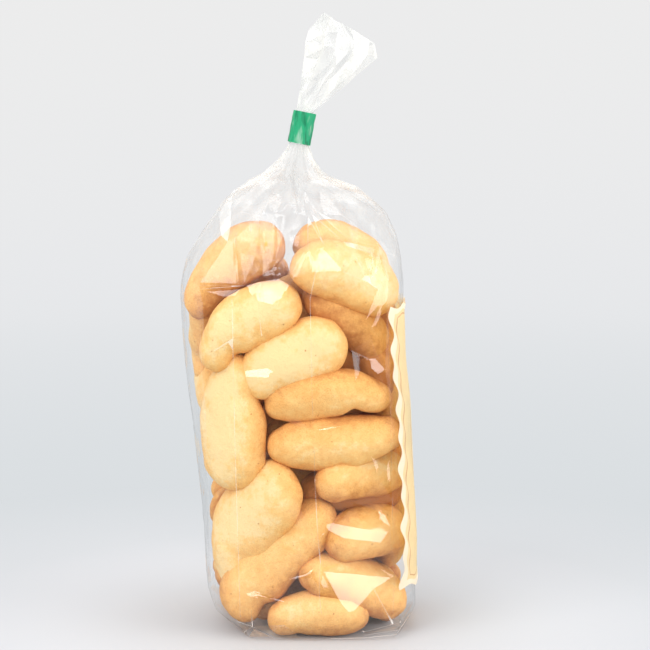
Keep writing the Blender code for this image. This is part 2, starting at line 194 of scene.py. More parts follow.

# Biscuits against each face of the bag, as a viewer of that face sees them: place across, height,
# turn in degrees, how far the top is turned to the viewer (0 lying flat, 90 facing out), length,
# width, form, how far it lies back from the film, and how brown it is: baked browning, and on the
# darkest ones painted shade as well. A negative width mirrors the form.
FRONT = (
    (-0.0306, 0.1738, 32, 62, 0.063, 0.033, "arch", 0.000, 0.44),
    (0.0209, 0.1785, -26, 60, 0.054, 0.028, "arch", 0.015, 0.40),
    (0.0227, 0.1690, -22, 80, 0.0575, 0.030, "plump", 0.000, 0.12),
    (-0.0234, 0.1487, 29, 84, 0.0545, 0.029, "comma", 0.000, 0.06),
    (-0.0022, 0.1325, 22, 88, 0.0520, 0.031, "plump", 0.001, -0.02),
    # Painted shade: this biscuit and the next are browned darker to stand for the shade they lie in.
    (0.0240, 0.1472, -38, 58, 0.0560, 0.028, "plump", 0.011, 0.56),
    (0.0330, 0.1260, -20, 50, 0.054, 0.026, "plump", 0.022, 0.95),
    (0.0132, 0.1155, 187, 66, 0.0585, -0.0235, "hook", 0.002, 0.30),
    (0.0172, 0.0915, 181, 76, 0.0625, -0.0255, "peanut", 0.001, 0.32),
    (-0.0299, 0.1010, 271, 88, 0.0645, -0.0346, "pear", 0.004, 0.02),
    (0.0304, 0.0755, 2, 58, 0.050, 0.0250, "plump", 0.003, 0.24),
    (-0.0216, 0.0546, 51, 84, 0.0665, 0.0385, "comma", 0.001, 0.05),
    (-0.0101, 0.0370, 46, 80, 0.0715, 0.030, "boot", 0.004, 0.36),
    (0.0314, 0.0479, 3, 74, 0.0440, 0.0265, "plump", 0.003, 0.36),
    (0.0256, 0.0240, -24, 50, 0.0550, 0.028, "plump", 0.003, 0.34),
    (0.0095, 0.0100, 0, 62, 0.048, 0.022, "plump", 0.000, 0.34),
)
BACK = (
    (-0.0240, 0.1600, 25, 62, 0.060, 0.028, "arch", 0.000, 0.30),
    (0.0220, 0.1620, -28, 70, 0.060, 0.028, "hook", 0.001, 0.12),
    (-0.0280, 0.1380, -78, 86, 0.062, 0.031, "plump", 0.000, 0.06),
    (0.0130, 0.1460, 12, 80, 0.062, 0.029, "comma", 0.000, 0.18),
    (0.0140, 0.1220, -10, 74, 0.054, 0.027, "peanut", 0.002, 0.05),
    (0.0120, 0.0980, 6, 66, 0.062, 0.026, "hook", 0.000, 0.26),
    (-0.0280, 0.0900, 66, 84, 0.064, 0.031, "comma", 0.000, 0.08),
    (0.0210, 0.0740, -14, 72, 0.060, 0.027, "plump", 0.001, 0.10),
    (-0.0120, 0.0550, -34, 80, 0.064, 0.029, "hook", 0.000, 0.04),
    (0.0270, 0.0470, 38, 78, 0.058, 0.028, "plump", 0.003, 0.16),
    (-0.0210, 0.0220, 8, 62, 0.060, 0.028, "peanut", 0.002, 0.30),
    (0.0150, 0.0180, -6, 58, 0.058, 0.027, "plump", 0.001, 0.12),
)
LEFT = (
    (-0.0060, 0.1490, 62, 80, 0.058, 0.028, "hook", 0.001, 0.22),
    (-0.0020, 0.1320, 24, 70, 0.056, 0.026, "plump", 0.014, 0.36),
    (-0.0080, 0.1180, -58, 78, 0.060, 0.028, "comma", 0.001, 0.10),
    (-0.0040, 0.0890, 60, 80, 0.060, 0.028, "plump", 0.001, 0.08),
    (-0.0080, 0.0600, -50, 76, 0.060, 0.028, "comma", 0.005, 0.14),
    (-0.0060, 0.0330, 30, 70, 0.056, 0.027, "peanut", 0.002, 0.24),
    (0.0040, 0.0130, 0, 55, 0.044, 0.025, "plump", 0.004, 0.34),
)
RIGHT = (
    (0.0180, 0.1590, -30, 70, 0.056, 0.028, "plump", 0.002, 0.20),
    (0.0000, 0.1400, 60, 76, 0.058, 0.027, "hook", 0.002, 0.75),
    (0.0000, 0.1080, -55, 76, 0.058, 0.027, "peanut", 0.002, 0.20),
    # Painted shade: browned darker to stand for the shade of the gap it shows in.
    (0.0000, 0.0760, 58, 76, 0.058, 0.027, "comma", 0.002, 0.50),
    (0.0000, 0.0450, -50, 76, 0.056, 0.027, "plump", 0.002, 0.16),
    (0.0040, 0.0160, 0, 58, 0.054, 0.027, "plump", 0.002, 0.30),
)
SIDES = (("front", 0, FRONT), ("right", 90, RIGHT), ("back", 180, BACK), ("left", 270, LEFT))

# Biscuits in the middle of the bag, behind the ones at the film: x, y, height, turn about the
# vertical, lean, length and how brown: baked browning, set browner as painted shade deep in the
# bag.
CORE = (
    (0.004, 0.002, 0.020, 20, 8, 0.052, 0.40),
    (0.002, -0.002, 0.043, 75, 20, 0.050, 0.45),
    (0.004, 0.002, 0.066, -30, 24, 0.050, 0.45),
    (0.002, -0.002, 0.089, 40, 18, 0.048, 0.45),
    (0.002, 0.000, 0.112, -65, 22, 0.046, 0.45),
    (0.002, -0.002, 0.130, 15, 20, 0.046, 0.45),
    (0.000, 0.002, 0.144, 80, 16, 0.046, 0.55),
    # Painted shade: browned darker to stand for the shade of the gap in front of it.
    (0.024, -0.014, 0.066, 12, 30, 0.050, 0.85),
    (-0.028, -0.002, 0.025, -80, 14, 0.044, 0.36),
    (0.022, -0.010, 0.112, 60, 24, 0.048, 0.60),
    (0.006, 0.004, 0.157, 14, 12, 0.046, 0.75),
    (0.000, 0.012, 0.100, 45, 0, 0.044, 0.60),
)


def smooth_step(low, high, value):
    share = min(max((value - low) / (high - low), 0.0), 1.0)
    return share * share * (3.0 - 2.0 * share)


def film_at(height):
    """Middle, half width, half depth and squareness of the film's cross-section at a height."""
    rows = FILM_STATIONS
    index = 0
    while index < len(rows) - 2 and rows[index + 1][0] < height:
        index += 1
    before = rows[max(index - 1, 0)]
    low = rows[index]
    high = rows[index + 1]
    after = rows[min(index + 2, len(rows) - 1)]
    span = high[0] - low[0]
    share = min(max((height - low[0]) / span, 0.0), 1.0)
    found = []
    for column in range(1, 5):
        slope_low = (high[column] - before[column]) / (high[0] - before[0]) * span
        slope_high = (after[column] - low[column]) / (after[0] - low[0]) * span
        step = high[column] - low[column]
        bend = 3.0 * step - 2.0 * slope_low - slope_high
        twist = slope_low + slope_high - 2.0 * step
        found.append(low[column] + share * (slope_low + share * (bend + share * twist)))
    return found


def section_point(height, around):
    """A point of the film's outline at a height and an angle round its cross-section."""
    middle, half_width, half_depth, square = film_at(height)
    cosine = math.cos(around)
    sine = math.sin(around)
    across = math.copysign(abs(cosine) ** (2.0 / square), cosine) * half_width
    deep = math.copysign(abs(sine) ** (2.0 / square), sine) * half_depth
    return Vector((middle + across, deep, height))


# Meshes


def finish_mesh(cage, name, material, smooth=True, sharp=None):
    """Makes a piece of a cage in the bag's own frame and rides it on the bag."""
    bmesh.ops.translate(cage, verts=cage.verts, vec=-BOX_MIDDLE)
    mesh = bpy.data.meshes.new(name)
    cage.to_mesh(mesh)
    cage.free()
    mesh.materials.append(material)
    if smooth:
        mesh.shade_smooth()
    if sharp is not None:
        mesh.set_sharp_from_angle(angle=sharp)
    made = bpy.data.objects.new(name, mesh)
    bpy.context.scene.collection.objects.link(made)
    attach(made, BODY)
    return made


def joined(cages):
    """One cage of several, which are freed."""
    whole = bmesh.new()
    for cage in cages:
        part = bpy.data.meshes.new("part")
        cage.to_mesh(part)
        cage.free()
        whole.from_mesh(part)
        bpy.data.meshes.remove(part)
    return whole


def span_grid(cage, grid):
    """Faces between the rows of a grid of corners."""
    for lower, upper in zip(grid, grid[1:]):
        for column in range(len(lower) - 1):
            cage.faces.new((lower[column], lower[column + 1], upper[column + 1], upper[column]))


# Node trees


def new_material(name):
    made = bpy.data.materials.new(name)
    made.use_nodes = True
    made.node_tree.nodes.clear()
    return made


class Tree:
    """Short ways to add and link the nodes of a material or a node group."""

    def __init__(self, tree):
        self.tree = tree

    def put(self, socket, value):
        """Links an output socket, or sets a constant."""
        if isinstance(value, bpy.types.NodeSocket):
            self.tree.links.new(value, socket)
        elif hasattr(value, "__len__") and len(value) == 3 and socket.type == "RGBA":
            socket.default_value = (*value, 1.0)
        else:
            socket.default_value = value

    def add(self, kind, inputs=(), **settings):
        """Adds a node with its settings, and fills inputs given as (name or number, value)."""
        node = self.tree.nodes.new(kind)
        for name, value in settings.items():
            setattr(node, name, value)
        for name, value in inputs:
            self.put(node.inputs[name], value)
        return node

    def named(self, kind, values, **settings):
        """Adds a node whose inputs are given by name, with _ for a space."""
        inputs = [(name.replace("_", " "), value) for name, value in values.items()]
        return self.add(kind, inputs, **settings)

    def math(self, operation, *values, clamp=False):
        inputs = enumerate(values)
        return self.add("ShaderNodeMath", inputs, operation=operation, use_clamp=clamp).outputs[0]

    def mix(self, factor, first, second):
        inputs = ((0, factor), (6, first), (7, second))
        return self.add("ShaderNodeMix", inputs, data_type="RGBA").outputs[2]

    def ramp(self, factor, *stops):
        """A colour ramp with stops of (position, colour)."""
        node = self.add("ShaderNodeValToRGB", ((0, factor),))
        elements = node.color_ramp.elements
        while len(elements) < len(stops):
            elements.new(1.0)
        for element, (position, colour) in zip(elements, stops):
            element.position = position
            element.color = (*colour, 1.0)
        return node.outputs[0]

    def scaled(self, *values):
        """A value brought from between two limits to between two others, or to between 0 and 1."""
        return self.add("ShaderNodeMapRange", enumerate(values), clamp=True).outputs[0]

    def noise(self, vector, scale, detail=2.0, roughness=0.5):
        values = {"Vector": vector, "Scale": scale, "Detail": detail, "Roughness": roughness}
        return self.named("ShaderNodeTexNoise", values).outputs["Fac"]

    def bump(self, height, strength, distance):
        values = {"Height": height, "Strength": strength, "Distance": distance}
        return self.named("ShaderNodeBump", values).outputs["Normal"]

    def attribute(self, name):
        return self.add("ShaderNodeAttribute", attribute_name=name).outputs["Fac"]

    def place(self):
        return self.add("ShaderNodeTexCoord").outputs["Object"]

    def axes(self, place):
        """The X, Y and Z of a place."""
        return self.add("ShaderNodeSeparateXYZ", ((0, place),)).outputs

    def stretched(self, place, upward):
        """A place whose height is scaled, which draws a texture out up and down."""
        values = {"Vector": place, "Scale": (1.0, 1.0, upward)}
        return self.named("ShaderNodeMapping", values).outputs[0]

    def group(self, group, **values):
        return self.named("ShaderNodeGroup", values, node_tree=group)

    def principled(self, **values):
        return self.named("ShaderNodeBsdfPrincipled", values).outputs[0]

    def blend(self, factor, first, second):
        """A mix of two shaders."""
        return self.add("ShaderNodeMixShader", enumerate((factor, first, second))).outputs[0]

    def output(self, surface):
        self.add("ShaderNodeOutputMaterial", (("Surface", surface),))


def new_group(name, inputs, outputs):
    """A node group with float inputs (name, default) and outputs (name, socket type)."""
    group = bpy.data.node_groups.new(name, "ShaderNodeTree")
    for title, default in inputs:
        socket = group.interface.new_socket(title, in_out="INPUT", socket_type="NodeSocketFloat")
        socket.default_value = default
    for title, kind in outputs:
        group.interface.new_socket(title, in_out="OUTPUT", socket_type=kind)
    tree = Tree(group)
    return group, tree, tree.add("NodeGroupInput").outputs, tree.add("NodeGroupOutput").inputs


def fine_grain():
    """Mottling and a fine relief, for the baked crust and for the paper."""
    known = bpy.data.node_groups.get("fine grain")
    if known:
        return known
    group, tree, given, out = new_group(
        "fine grain",
        (("Scale", 300.0), ("Depth", 0.0001)),
        (("Mottle", "NodeSocketFloat"), ("Normal", "NodeSocketVector")),
    )
    place = tree.place()
    fine = tree.noise(place, given["Scale"], 4.0, 0.6)
    coarse = tree.noise(place, tree.math("MULTIPLY", given["Scale"], 0.22), 2.0, 0.5)
    fine_part = tree.math("MULTIPLY", fine, 0.4)
    coarse_part = tree.math("MULTIPLY", coarse, 0.6)
    tree.put(out["Mottle"], tree.math("ADD", fine_part, coarse_part))
    tree.put(out["Normal"], tree.bump(fine, 1.0, given["Depth"]))
    return group


def film_haze():
    """Cloudiness of crumpled film: streaks and faint scuffs, as a mask."""
    known = bpy.data.node_groups.get("film haze")
    if known:
        return known
    group, tree, given, out = new_group(
        "film haze",
        (("Clear", 0.01), ("Cloudy", 0.12), ("Scale", 90.0)),
        (("Mask", "NodeSocketFloat"),),
    )
    streaks = tree.noise(tree.stretched(tree.place(), 0.35), given["Scale"], 3.0, 0.6)
    cloud = tree.scaled(streaks, 0.48, 0.78)
    span = tree.math("SUBTRACT", given["Cloudy"], given["Clear"])
    tree.put(out["Mask"], tree.math("MULTIPLY_ADD", cloud, span, given["Clear"]))
    return group


# Settings


def number_setting(name, description, default, **kind):
    return FloatProperty(name=name, description=description, default=default, **kind)


def length_setting(name, description, default):
    return number_setting(name, description, default, unit="LENGTH")


def power_setting(name, description, default):
    return number_setting(name, description, default, unit="POWER")


def share_setting(name, description, default):
    return number_setting(name, description, default, subtype="FACTOR")


def colour_setting(name, description, default):
    return FloatVectorProperty(name=name, description=description, default=default, subtype="COLOR")


class StageSettings(bpy.types.PropertyGroup):
    distance: length_setting("Camera distance", "From the camera to the bag", 0.860)
    elevation: number_setting(
        "Camera elevation", "How far the camera looks down", math.radians(6), subtype="ANGLE"
    )
    lens: number_setting("Lens", "Focal length on a 36 mm sensor", 99.24, unit="CAMERA")
    window: power_setting("Window light", "Power of the large light at the front left", 7.3)
    front: power_setting("Front light", "Power of the softbox that the film mirrors", 1.25)
    top: power_setting("Top light", "Power of the light overhead", 3.9)
    fill: power_setting("Fill light", "Power of the light at the right", 7.5)
    room: number_setting("Room light", "Strength of the light from all round", 0.70)
    paper: colour_setting("Floor colour", "Colour of the floor round the bag", (0.525, 0.530, 0.545))


class BiscuitSettings(bpy.types.PropertyGroup):
    pale: colour_setting("Pale top", "Colour of the palest crust", (0.90, 0.665, 0.325))
    warm: colour_setting("Warm crust", "Colour between the top and the sides", (0.90, 0.560, 0.200))
    golden: colour_setting("Golden side", "Colour of the crust on the sides", (0.86, 0.45, 0.135))
    brown: colour_setting("Brown edge", "Colour of the darkest crust", (0.54, 0.21, 0.055))
    lumps: length_setting("Unevenness", "Height of the biscuits' soft lumps", 0.0011)
    pores: length_setting("Pore depth", "Depth of the fine pores of the crust", 0.00022)


class FilmSettings(bpy.types.PropertyGroup):
    facet: length_setting("Facet size", "Distance between the crumpled film's corners", 0.0125)
    crumple: length_setting("Crumple depth", "How far the film's corners lie in or out", 0.0006)
    pleats: IntProperty(name="Pleats", description="Pleats gathered into the neck", default=22)
    gloss: share_setting("Gloss", "Share of light that the film reflects head on", 0.080)
    haze: share_setting("Haze", "Milkiness of the loose film under the neck", 0.22)


class TrimSettings(bpy.types.PropertyGroup):
    tape: colour_setting("Tape colour", "Colour of the tape round the neck", (0.035, 0.54, 0.27))
    paper: colour_setting("Label colour", "Colour of the paper label", (0.98, 0.85, 0.54))
    border: colour_setting("Border colour", "Colour of the label's border", (0.97, 0.91, 0.76))
    line: colour_setting("Line colour", "Colour of the line inside the border", (0.72, 0.44, 0.22))


# Biscuits


def biscuit_width(along, length, width, form):
    """Lower and upper edge of a biscuit's plan, at a place from -1 (tail) to 1 (head)."""
    tail_bend, arch, notch, notch_place, outer_notch, tail_taper = FORMS[form]
    tail = 1.0 - smooth_step(-0.95, 0.0, along)
    cap = max(1.0 - abs(along) ** 3.2, 0.0) ** 0.45
    half = 0.5 * width * cap * (1.0 - tail_taper * tail)
    middle = -tail_bend * length * tail**1.4 - arch * length * (along * along - 0.3)
    dip = notch * length * math.exp(-(((along - notch_place) / NOTCH_SPREAD) ** 2))
    from_outer = (along - OUTER_NOTCH_PLACE) / OUTER_NOTCH_SPREAD
    outer_dip = outer_notch * length * math.exp(-(from_outer**2))
    return middle - half + dip, middle + half - outer_dip, cap * (1.0 - 0.5 * tail_taper * tail)


def biscuit_cage(length, width, form, size):
    """A domed biscuit with a flatter underside, lying along x with its top towards +Z."""
    sections, sides = size
    mirror = -1.0 if width < 0 else 1.0
    cage = bmesh.new()
    crust = cage.verts.layers.float.new("crust")
    bmesh.ops.create_uvsphere(cage, u_segments=sides, v_segments=sections, radius=1.0)
    for vert in cage.verts:
        along = max(min(vert.co.z, 1.0), -1.0)
        around = math.atan2(vert.co.y, vert.co.x)
        if abs(along) > 0.9999:
            around = 0.5 * math.pi
        low, high, cap = biscuit_width(along, length, abs(width), form)
        crown = BISCUIT_CROWN if math.sin(around) > 0 else 1.0 - BISCUIT_CROWN
        crown *= BISCUIT_THICKNESS * cap**0.85
        side = 0.5 * (low + high) + 0.5 * (high - low) * math.cos(around)
        # Painted shade: the ends and the rim are browned darker to stand for the shade between
        # biscuits.
        rise = math.sin(around) * (1.0 - END_PAINTED_SHADE * abs(along) ** 4)
        if rise > 0.0:
            vert[crust] = RIM_BROWN_AND_SHADE * (1.0 - rise) ** 0.8
        else:
            vert[crust] = RIM_BROWN_AND_SHADE - UNDER_BROWN * rise
        vert.co = (0.5 * length * along, mirror * side, crown * math.sin(around))
    return cage


def film_normal(point):
    """Level direction out of the film at the height and bearing of a point."""
    middle, half_width, half_depth, square = film_at(point.z)
    across = (point.x - middle) / half_width
    deep = point.y / half_depth
    slope_x = math.copysign(abs(across) ** (square - 1.0), across) / half_width
    slope_y = math.copysign(abs(deep) ** (square - 1.0), deep) / half_depth
    return Vector((slope_x, slope_y, 0.0)).normalized()


def biscuit_start(heading, across, height):
    """A place a biscuit's half thickness behind the film, for a viewer of one face of the bag."""
    middle, half_width, half_depth, square = film_at(height)
    about = Matrix.Rotation(math.radians(heading), 4, "Z")
    place = about @ Vector((across, 0.0, 0.0))
    outward = about @ Vector((0.0, -1.0, 0.0))
    if abs(outward.y) > 0.5:
        share = min(abs(place.x - middle) / (half_width - BISCUIT_THICKNESS), CORNER_LIMIT)
        reach = (half_depth - BISCUIT_THICKNESS) * (1.0 - share**square) ** (1.0 / square)
        place.y = outward.y * reach
    else:
        share = min(abs(place.y) / (half_depth - BISCUIT_THICKNESS), CORNER_LIMIT)
        reach = (half_width - BISCUIT_THICKNESS) * (1.0 - share**square) ** (1.0 / square)
        place.x = middle + outward.x * reach
    place.z = height
    return place


def seen_from(spot, heading):
    """A point as a viewer of one face sees it, and the film's half sizes and squareness there."""
    middle, half_width, half_depth, square = film_at(spot.z)
    turned = Matrix.Rotation(-math.radians(heading), 3, "Z") @ (spot - Vector((middle, 0.0, 0.0)))
    if heading % 180:
        half_width, half_depth = half_depth, half_width
    return turned, half_width, half_depth, square


def gap_ahead(spot, heading):
    """How far a point could move straight out of one face of the bag before it reaches the film."""
    turned, half_width, half_depth, square = seen_from(spot, heading)
    share = min(abs(turned.x) / (half_width - FILM_CLEARANCE), 1.0)
    return (half_depth - FILM_CLEARANCE) * (1.0 - share**square) ** (1.0 / square) + turned.y


def beyond_face(spot, heading):
    """How far a point lies right (or left, if negative) of what biscuits may fill of one face."""
    turned, half_width, _, _ = seen_from(spot, heading)
    return math.copysign(max(abs(turned.x) - FACE_SHARE * half_width, 0.0), turned.x)


def settle(heading, row):
    """Rotation and place of a biscuit against the film, or the stated distance back from it."""
    across, height, turn, facing, length, width, form, behind = row[:8]
    place = biscuit_start(heading, across, height)
    normal = film_normal(place)
    bearing = math.atan2(normal.y, normal.x) - math.radians(heading - 90)
    yaw = FOLLOW_FILM * math.remainder(bearing, 2.0 * math.pi)
    rotation = Matrix.Rotation(math.radians(heading) + yaw, 4, "Z")
    rotation @= Matrix.Rotation(-math.radians(turn), 4, "Y")
    rotation @= Matrix.Rotation(math.radians(facing), 4, "X")
    cage = biscuit_cage(length, width, form, PLAIN_CAGE)
    spots = [rotation @ vert.co for vert in cage.verts]
    cage.free()
    lowest = min(spot.z for spot in spots) + place.z
    place.z += max(FILM_CLEARANCE - lowest, 0.0)
    aside = Matrix.Rotation(math.radians(heading), 3, "Z") @ Vector((1.0, 0.0, 0.0))
    beyond = [beyond_face(spot + place, heading) for spot in spots]
    place -= aside * (max(beyond) + min(beyond))
    gap = min(gap_ahead(spot + place, heading) for spot in spots)
    outward = Vector((aside.y, -aside.x, 0.0))
    place += outward * (gap - behind)
    return rotation, place


def shown_biscuit(length, width, form, brown, rotation, place, lumps, seed):
    """A fine biscuit with soft lumps, in place, with its baked brown and painted shade as an
    attribute.
    """
    cage = biscuit_cage(length, width, form, FINE_CAGE)
    cage.normal_update()
    crust = cage.verts.layers.float["crust"]
    shift = Vector((seed * 3.1, seed * 1.7, seed * 0.9))
    moves = []
    for vert in cage.verts:
        soft = noise.noise(vert.co * SOFT_LUMPS + shift)
        small = noise.noise(vert.co * SMALL_LUMPS + shift)
        moves.append(vert.normal * lumps * (soft + SMALL_SHARE * small - LUMP_SINK))
        patch = noise.noise(vert.co * BROWN_PATCHES - shift)
        vert[crust] += brown - CRUST_PALER + CRUST_VARIES * patch
    for vert, move in zip(cage.verts, moves):
        vert.co = rotation @ (vert.co + move) + place
    return cage


def core_pose(row):
    """Rotation and place of a biscuit in the middle of the bag."""
    x, y, height, turn, lean = row[:5]
    about = Matrix.Rotation(math.radians(turn), 4, "Z")
    rotation = about @ Matrix.Rotation(math.radians(lean), 4, "X")
    return rotation, Vector((x, y, height))


def biscuit_material(settings):
    """Crust browned, and painted with shade, towards the sides, with fine specks, pin holes and a
    leathery relief.
    """
    made = new_material("baked_crust")
    tree = Tree(made.node_tree)
    grain = tree.group(fine_grain(), Scale=1300.0, Depth=settings.pores)
    place = tree.place()
    # The crust attribute holds baked browning and painted shade.
    browning_and_shade = tree.attribute("crust")
    mottle = tree.math("SUBTRACT", grain.outputs["Mottle"], 0.5)
    blotches = tree.math("SUBTRACT", tree.noise(place, 130.0, 3.0, 0.6), 0.5)
    uneven = tree.math("MULTIPLY_ADD", mottle, 0.95, browning_and_shade)
    uneven = tree.math("MULTIPLY_ADD", blotches, 0.55, uneven)
    colour = tree.ramp(
        uneven,
        (0.00, tuple(settings.pale)),
        (0.22, tuple(settings.warm)),
        (0.52, tuple(settings.golden)),
        (0.92, tuple(settings.brown)),
    )
    speck = tree.scaled(tree.noise(place, 2200.0, 2.0, 0.6), 0.52, 0.64)
    speckled = tree.math("MULTIPLY", speck, tree.scaled(browning_and_shade, 0.0, 0.55, 0.10, 0.55))
    colour = tree.mix(speckled, colour, tuple(settings.brown))
    voronoi = tree.named("ShaderNodeTexVoronoi", {"Vector": place, "Scale": 260.0})
    hole_size = tree.scaled(tree.noise(place, 120.0, 1.0), 0.47, 0.64, 0.0, 0.11)
    hole = tree.math("LESS_THAN", voronoi.outputs["Distance"], hole_size)
    colour = tree.mix(tree.math("MULTIPLY", hole, 0.75), colour, tuple(settings.brown))
    folds = tree.noise(place, 170.0, 4.0, 0.62)
    leather = tree.noise(place, 420.0, 4.0, 0.65)
    crumb = tree.noise(place, 1500.0, 2.0, 0.6)
    relief = tree.math("ADD", tree.math("MULTIPLY_ADD", folds, 5.0, leather), crumb)
    relief = tree.math("MULTIPLY_ADD", hole, -1.5, relief)
    normal = tree.bump(relief, 0.85, settings.pores)
    tree.output(
        tree.principled(Base_Color=colour, Roughness=0.60, Specular_IOR_Level=0.25, Normal=normal)
    )
    return made


# Share of its size at which a biscuit is held against the others, so that they may press together.
TOUCHING = 0.94
# What is tried for a biscuit that runs into others: moves up or down and to either side, moves
# back from the film, and shares of its length, of which the ones with the least effort are used.
SHIFTS = (0.0, 0.004, -0.004, 0.008, -0.008)
BACKS = (0.0, 0.004, 0.008)
SIZES = (1.0, 0.93, 0.86, 0.80)
TRIES = 90
# Effort of a move back, and of giving up the whole length, next to a move up or aside.
BACK_EFFORT = 1.2
SIZE_EFFORT = 0.05


def effort(move):
    """How far a move takes a biscuit from where its row puts it."""
    up, aside, back, size = move
    return abs(up) + abs(aside) + BACK_EFFORT * back + SIZE_EFFORT * (1.0 - size)


MOVES = sorted(itertools.product(SHIFTS, SHIFTS, BACKS, SIZES), key=effort)[:TRIES]


def touch_tree(row, rotation, place):
    """What another biscuit runs into, for a biscuit in place."""
    cage = biscuit_cage(*row[4:7], PLAIN_CAGE)
    for vert in cage.verts:
        vert.co = rotation @ (vert.co * TOUCHING) + place
    tree = BVHTree.FromBMesh(cage)
    cage.free()
    return tree


def make_room(heading, row, placed):
    """Settles a biscuit where it runs into as few of the placed ones as possible."""
    across, height, turn, facing, length, width, form, behind, brown = row
    best = None
    for up, aside, back, size in MOVES:
        pose = (across + aside, height + up, turn, facing)
        moved = (*pose, length * size, width, form, behind + back, brown)
        rotation, place = settle(heading, moved)
        tree = touch_tree(moved, rotation, place)
        clashes = sum(len(tree.overlap(other)) for other in placed)
        if best is None or clashes < best[0]:
            best = (clashes, moved, rotation, place, tree)
        if clashes == 0:
            break
    placed.append(best[4])
    return best[1:4]


@functools.cache
def settled_biscuits():
    """Side, row, rotation and place of every biscuit at the film; the front ones lie as stated."""
    placed = []
    found = []
    for row in FRONT:
        rotation, place = settle(0, row)
        placed.append(touch_tree(row, rotation, place))
        found.append(("front", row, rotation, place))
    for side, heading, rows in SIDES[1:]:
        found += [(side, *make_room(heading, row, placed)) for row in rows]
    return found


def biscuit_cages():
    """Every biscuit in place, by the side of the bag it lies on."""
    lumps = bpy.context.scene.biscuit_bag_biscuits.lumps
    found = {side: [] for side, _, _ in SIDES}
    found["core"] = []
    settled = settled_biscuits()
    for seed, (side, row, rotation, place) in enumerate(settled, 1):
        found[side].append(shown_biscuit(*row[4:7], row[8], rotation, place, lumps, seed))
    for seed, row in enumerate(CORE, len(settled) + 1):
        length, brown = row[5:]
        cage = shown_biscuit(length, CORE_WIDTH, "plump", brown, *core_pose(row), lumps, seed)
        found["core"].append(cage)
    return found


class BISCUITBAG_OT_biscuits(bpy.types.Operator):
    """Adds the biscuits, at the film on each side and in the middle of the bag"""

    bl_idname = "biscuit_bag.biscuits"
    bl_label = "Biscuits"

    def execute(self, context):
        crust = biscuit_material(context.scene.biscuit_bag_biscuits)
        for side, cages in biscuit_cages().items():
            made = finish_mesh(joined(cages), f"biscuits_{side}", crust)
            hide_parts("bag")
        return {"FINISHED"}


# Film

# The film's cross-section unrolled: where each angle lies on its perimeter.
REFERENCE_HEIGHT = 0.107
UNROLL_STEPS = 720
RISE_STEP = 0.001


def unrolled_perimeter():
    """Length round the film from its +X side to each step of angle."""
    lengths = [0.0]
    last = section_point(REFERENCE_HEIGHT, 0.0)
    for step in range(1, UNROLL_STEPS + 1):
        point = section_point(REFERENCE_HEIGHT, 2.0 * math.pi * step / UNROLL_STEPS)
        lengths.append(lengths[-1] + (point - last).length)
        last = point
    return lengths


def unrolled_rise():
    """Length up the film from the base to each millimetre of height."""
    steps = round(NECK_TOP / RISE_STEP)
    heights = [NECK_TOP * step / steps for step in range(steps + 1)]
    lengths = [0.0]
    for low, high in zip(heights, heights[1:]):
        below = film_at(low)
        above = film_at(high)
        inward = 0.5 * (above[1] + above[2] - below[1] - below[2])
        lengths.append(lengths[-1] + math.hypot(high - low, inward))
    return heights, lengths


AROUND_ANGLES = [2.0 * math.pi * step / UNROLL_STEPS for step in range(UNROLL_STEPS + 1)]
AROUND_LENGTHS = unrolled_perimeter()
PERIMETER = AROUND_LENGTHS[-1]
HEIGHTS, RISES = unrolled_rise()
# Half the distance over which the film's direction is taken.
NEARBY = 0.0008


def lookup(keys, values, key):
    """The value at a key, on the straight line between the nearest known ones."""
    index = min(max(bisect.bisect_right(keys, key) - 1, 0), len(keys) - 2)
    share = (key - keys[index]) / (keys[index + 1] - keys[index])
    return values[index] + (values[index + 1] - values[index]) * min(max(share, 0.0), 1.0)


def film_point(run, rise):
    """The film's outline at a length round it and a length up it."""
    around = lookup(AROUND_LENGTHS, AROUND_ANGLES, run % PERIMETER)
    return section_point(lookup(RISES, HEIGHTS, rise), around)


def film_out(run, rise):
    """Direction out of the film."""
    around = film_point(run + NEARBY, rise) - film_point(run - NEARBY, rise)
    up = film_point(run, min(rise + NEARBY, RISES[-1])) - film_point(run, max(rise - NEARBY, 0.0))
    return around.cross(up).normalized()


def run_at(x, height, back=False):
    """Length round the film to its front, or its back, at a place across."""
    middle, half_width, _, square = film_at(height)
    across = min(max((x - middle) / half_width, -0.999), 0.999)
    angle = math.acos(math.copysign(abs(across) ** (square / 2.0), across))
    if not back:
        angle = 2.0 * math.pi - angle
    return lookup(AROUND_ANGLES, AROUND_LENGTHS, angle)


def rise_at(height):
    """Length up the film to a height."""
    return lookup(HEIGHTS, RISES, height)


# Where the film's large folds, its flat facets and its thin creases lie on the front: places as
# (x, z) in millimetres. The folds are mirrored on the back.
FRONT_FOLDS = (
    ((-29.6, 160), (-29.3, 142), (-29.0, 123), (-28.3, 81), (-27.2, 39), (-26.6, 12)),
    ((5.7, 160), (6.4, 125), (7.2, 102), (7.9, 77), (9.3, 49), (10.4, 38), (10.9, 14)),
    ((40.6, 159), (41.9, 113), (43.2, 67), (44.4, 31), (43.9, 8)),
    ((-43.2, 158), (-42.6, 113), (-41.6, 75), (-40.8, 36), (-38.5, 12)),
)
# How far each fold stands out of the film, and the corners of facets and creases.
FOLD_OUTS = (0.0006, -0.0004, 0.0006, 0.0002)
PATCH_OUT = 0.0005
CREASE_OUT = 0.0003
# Left of this fold, and no further back than this, the film lies double, which makes it milkier.
DOUBLE_FOLD = 3
DOUBLE_BACK = -0.015
DOUBLE_MILKY = 0.30
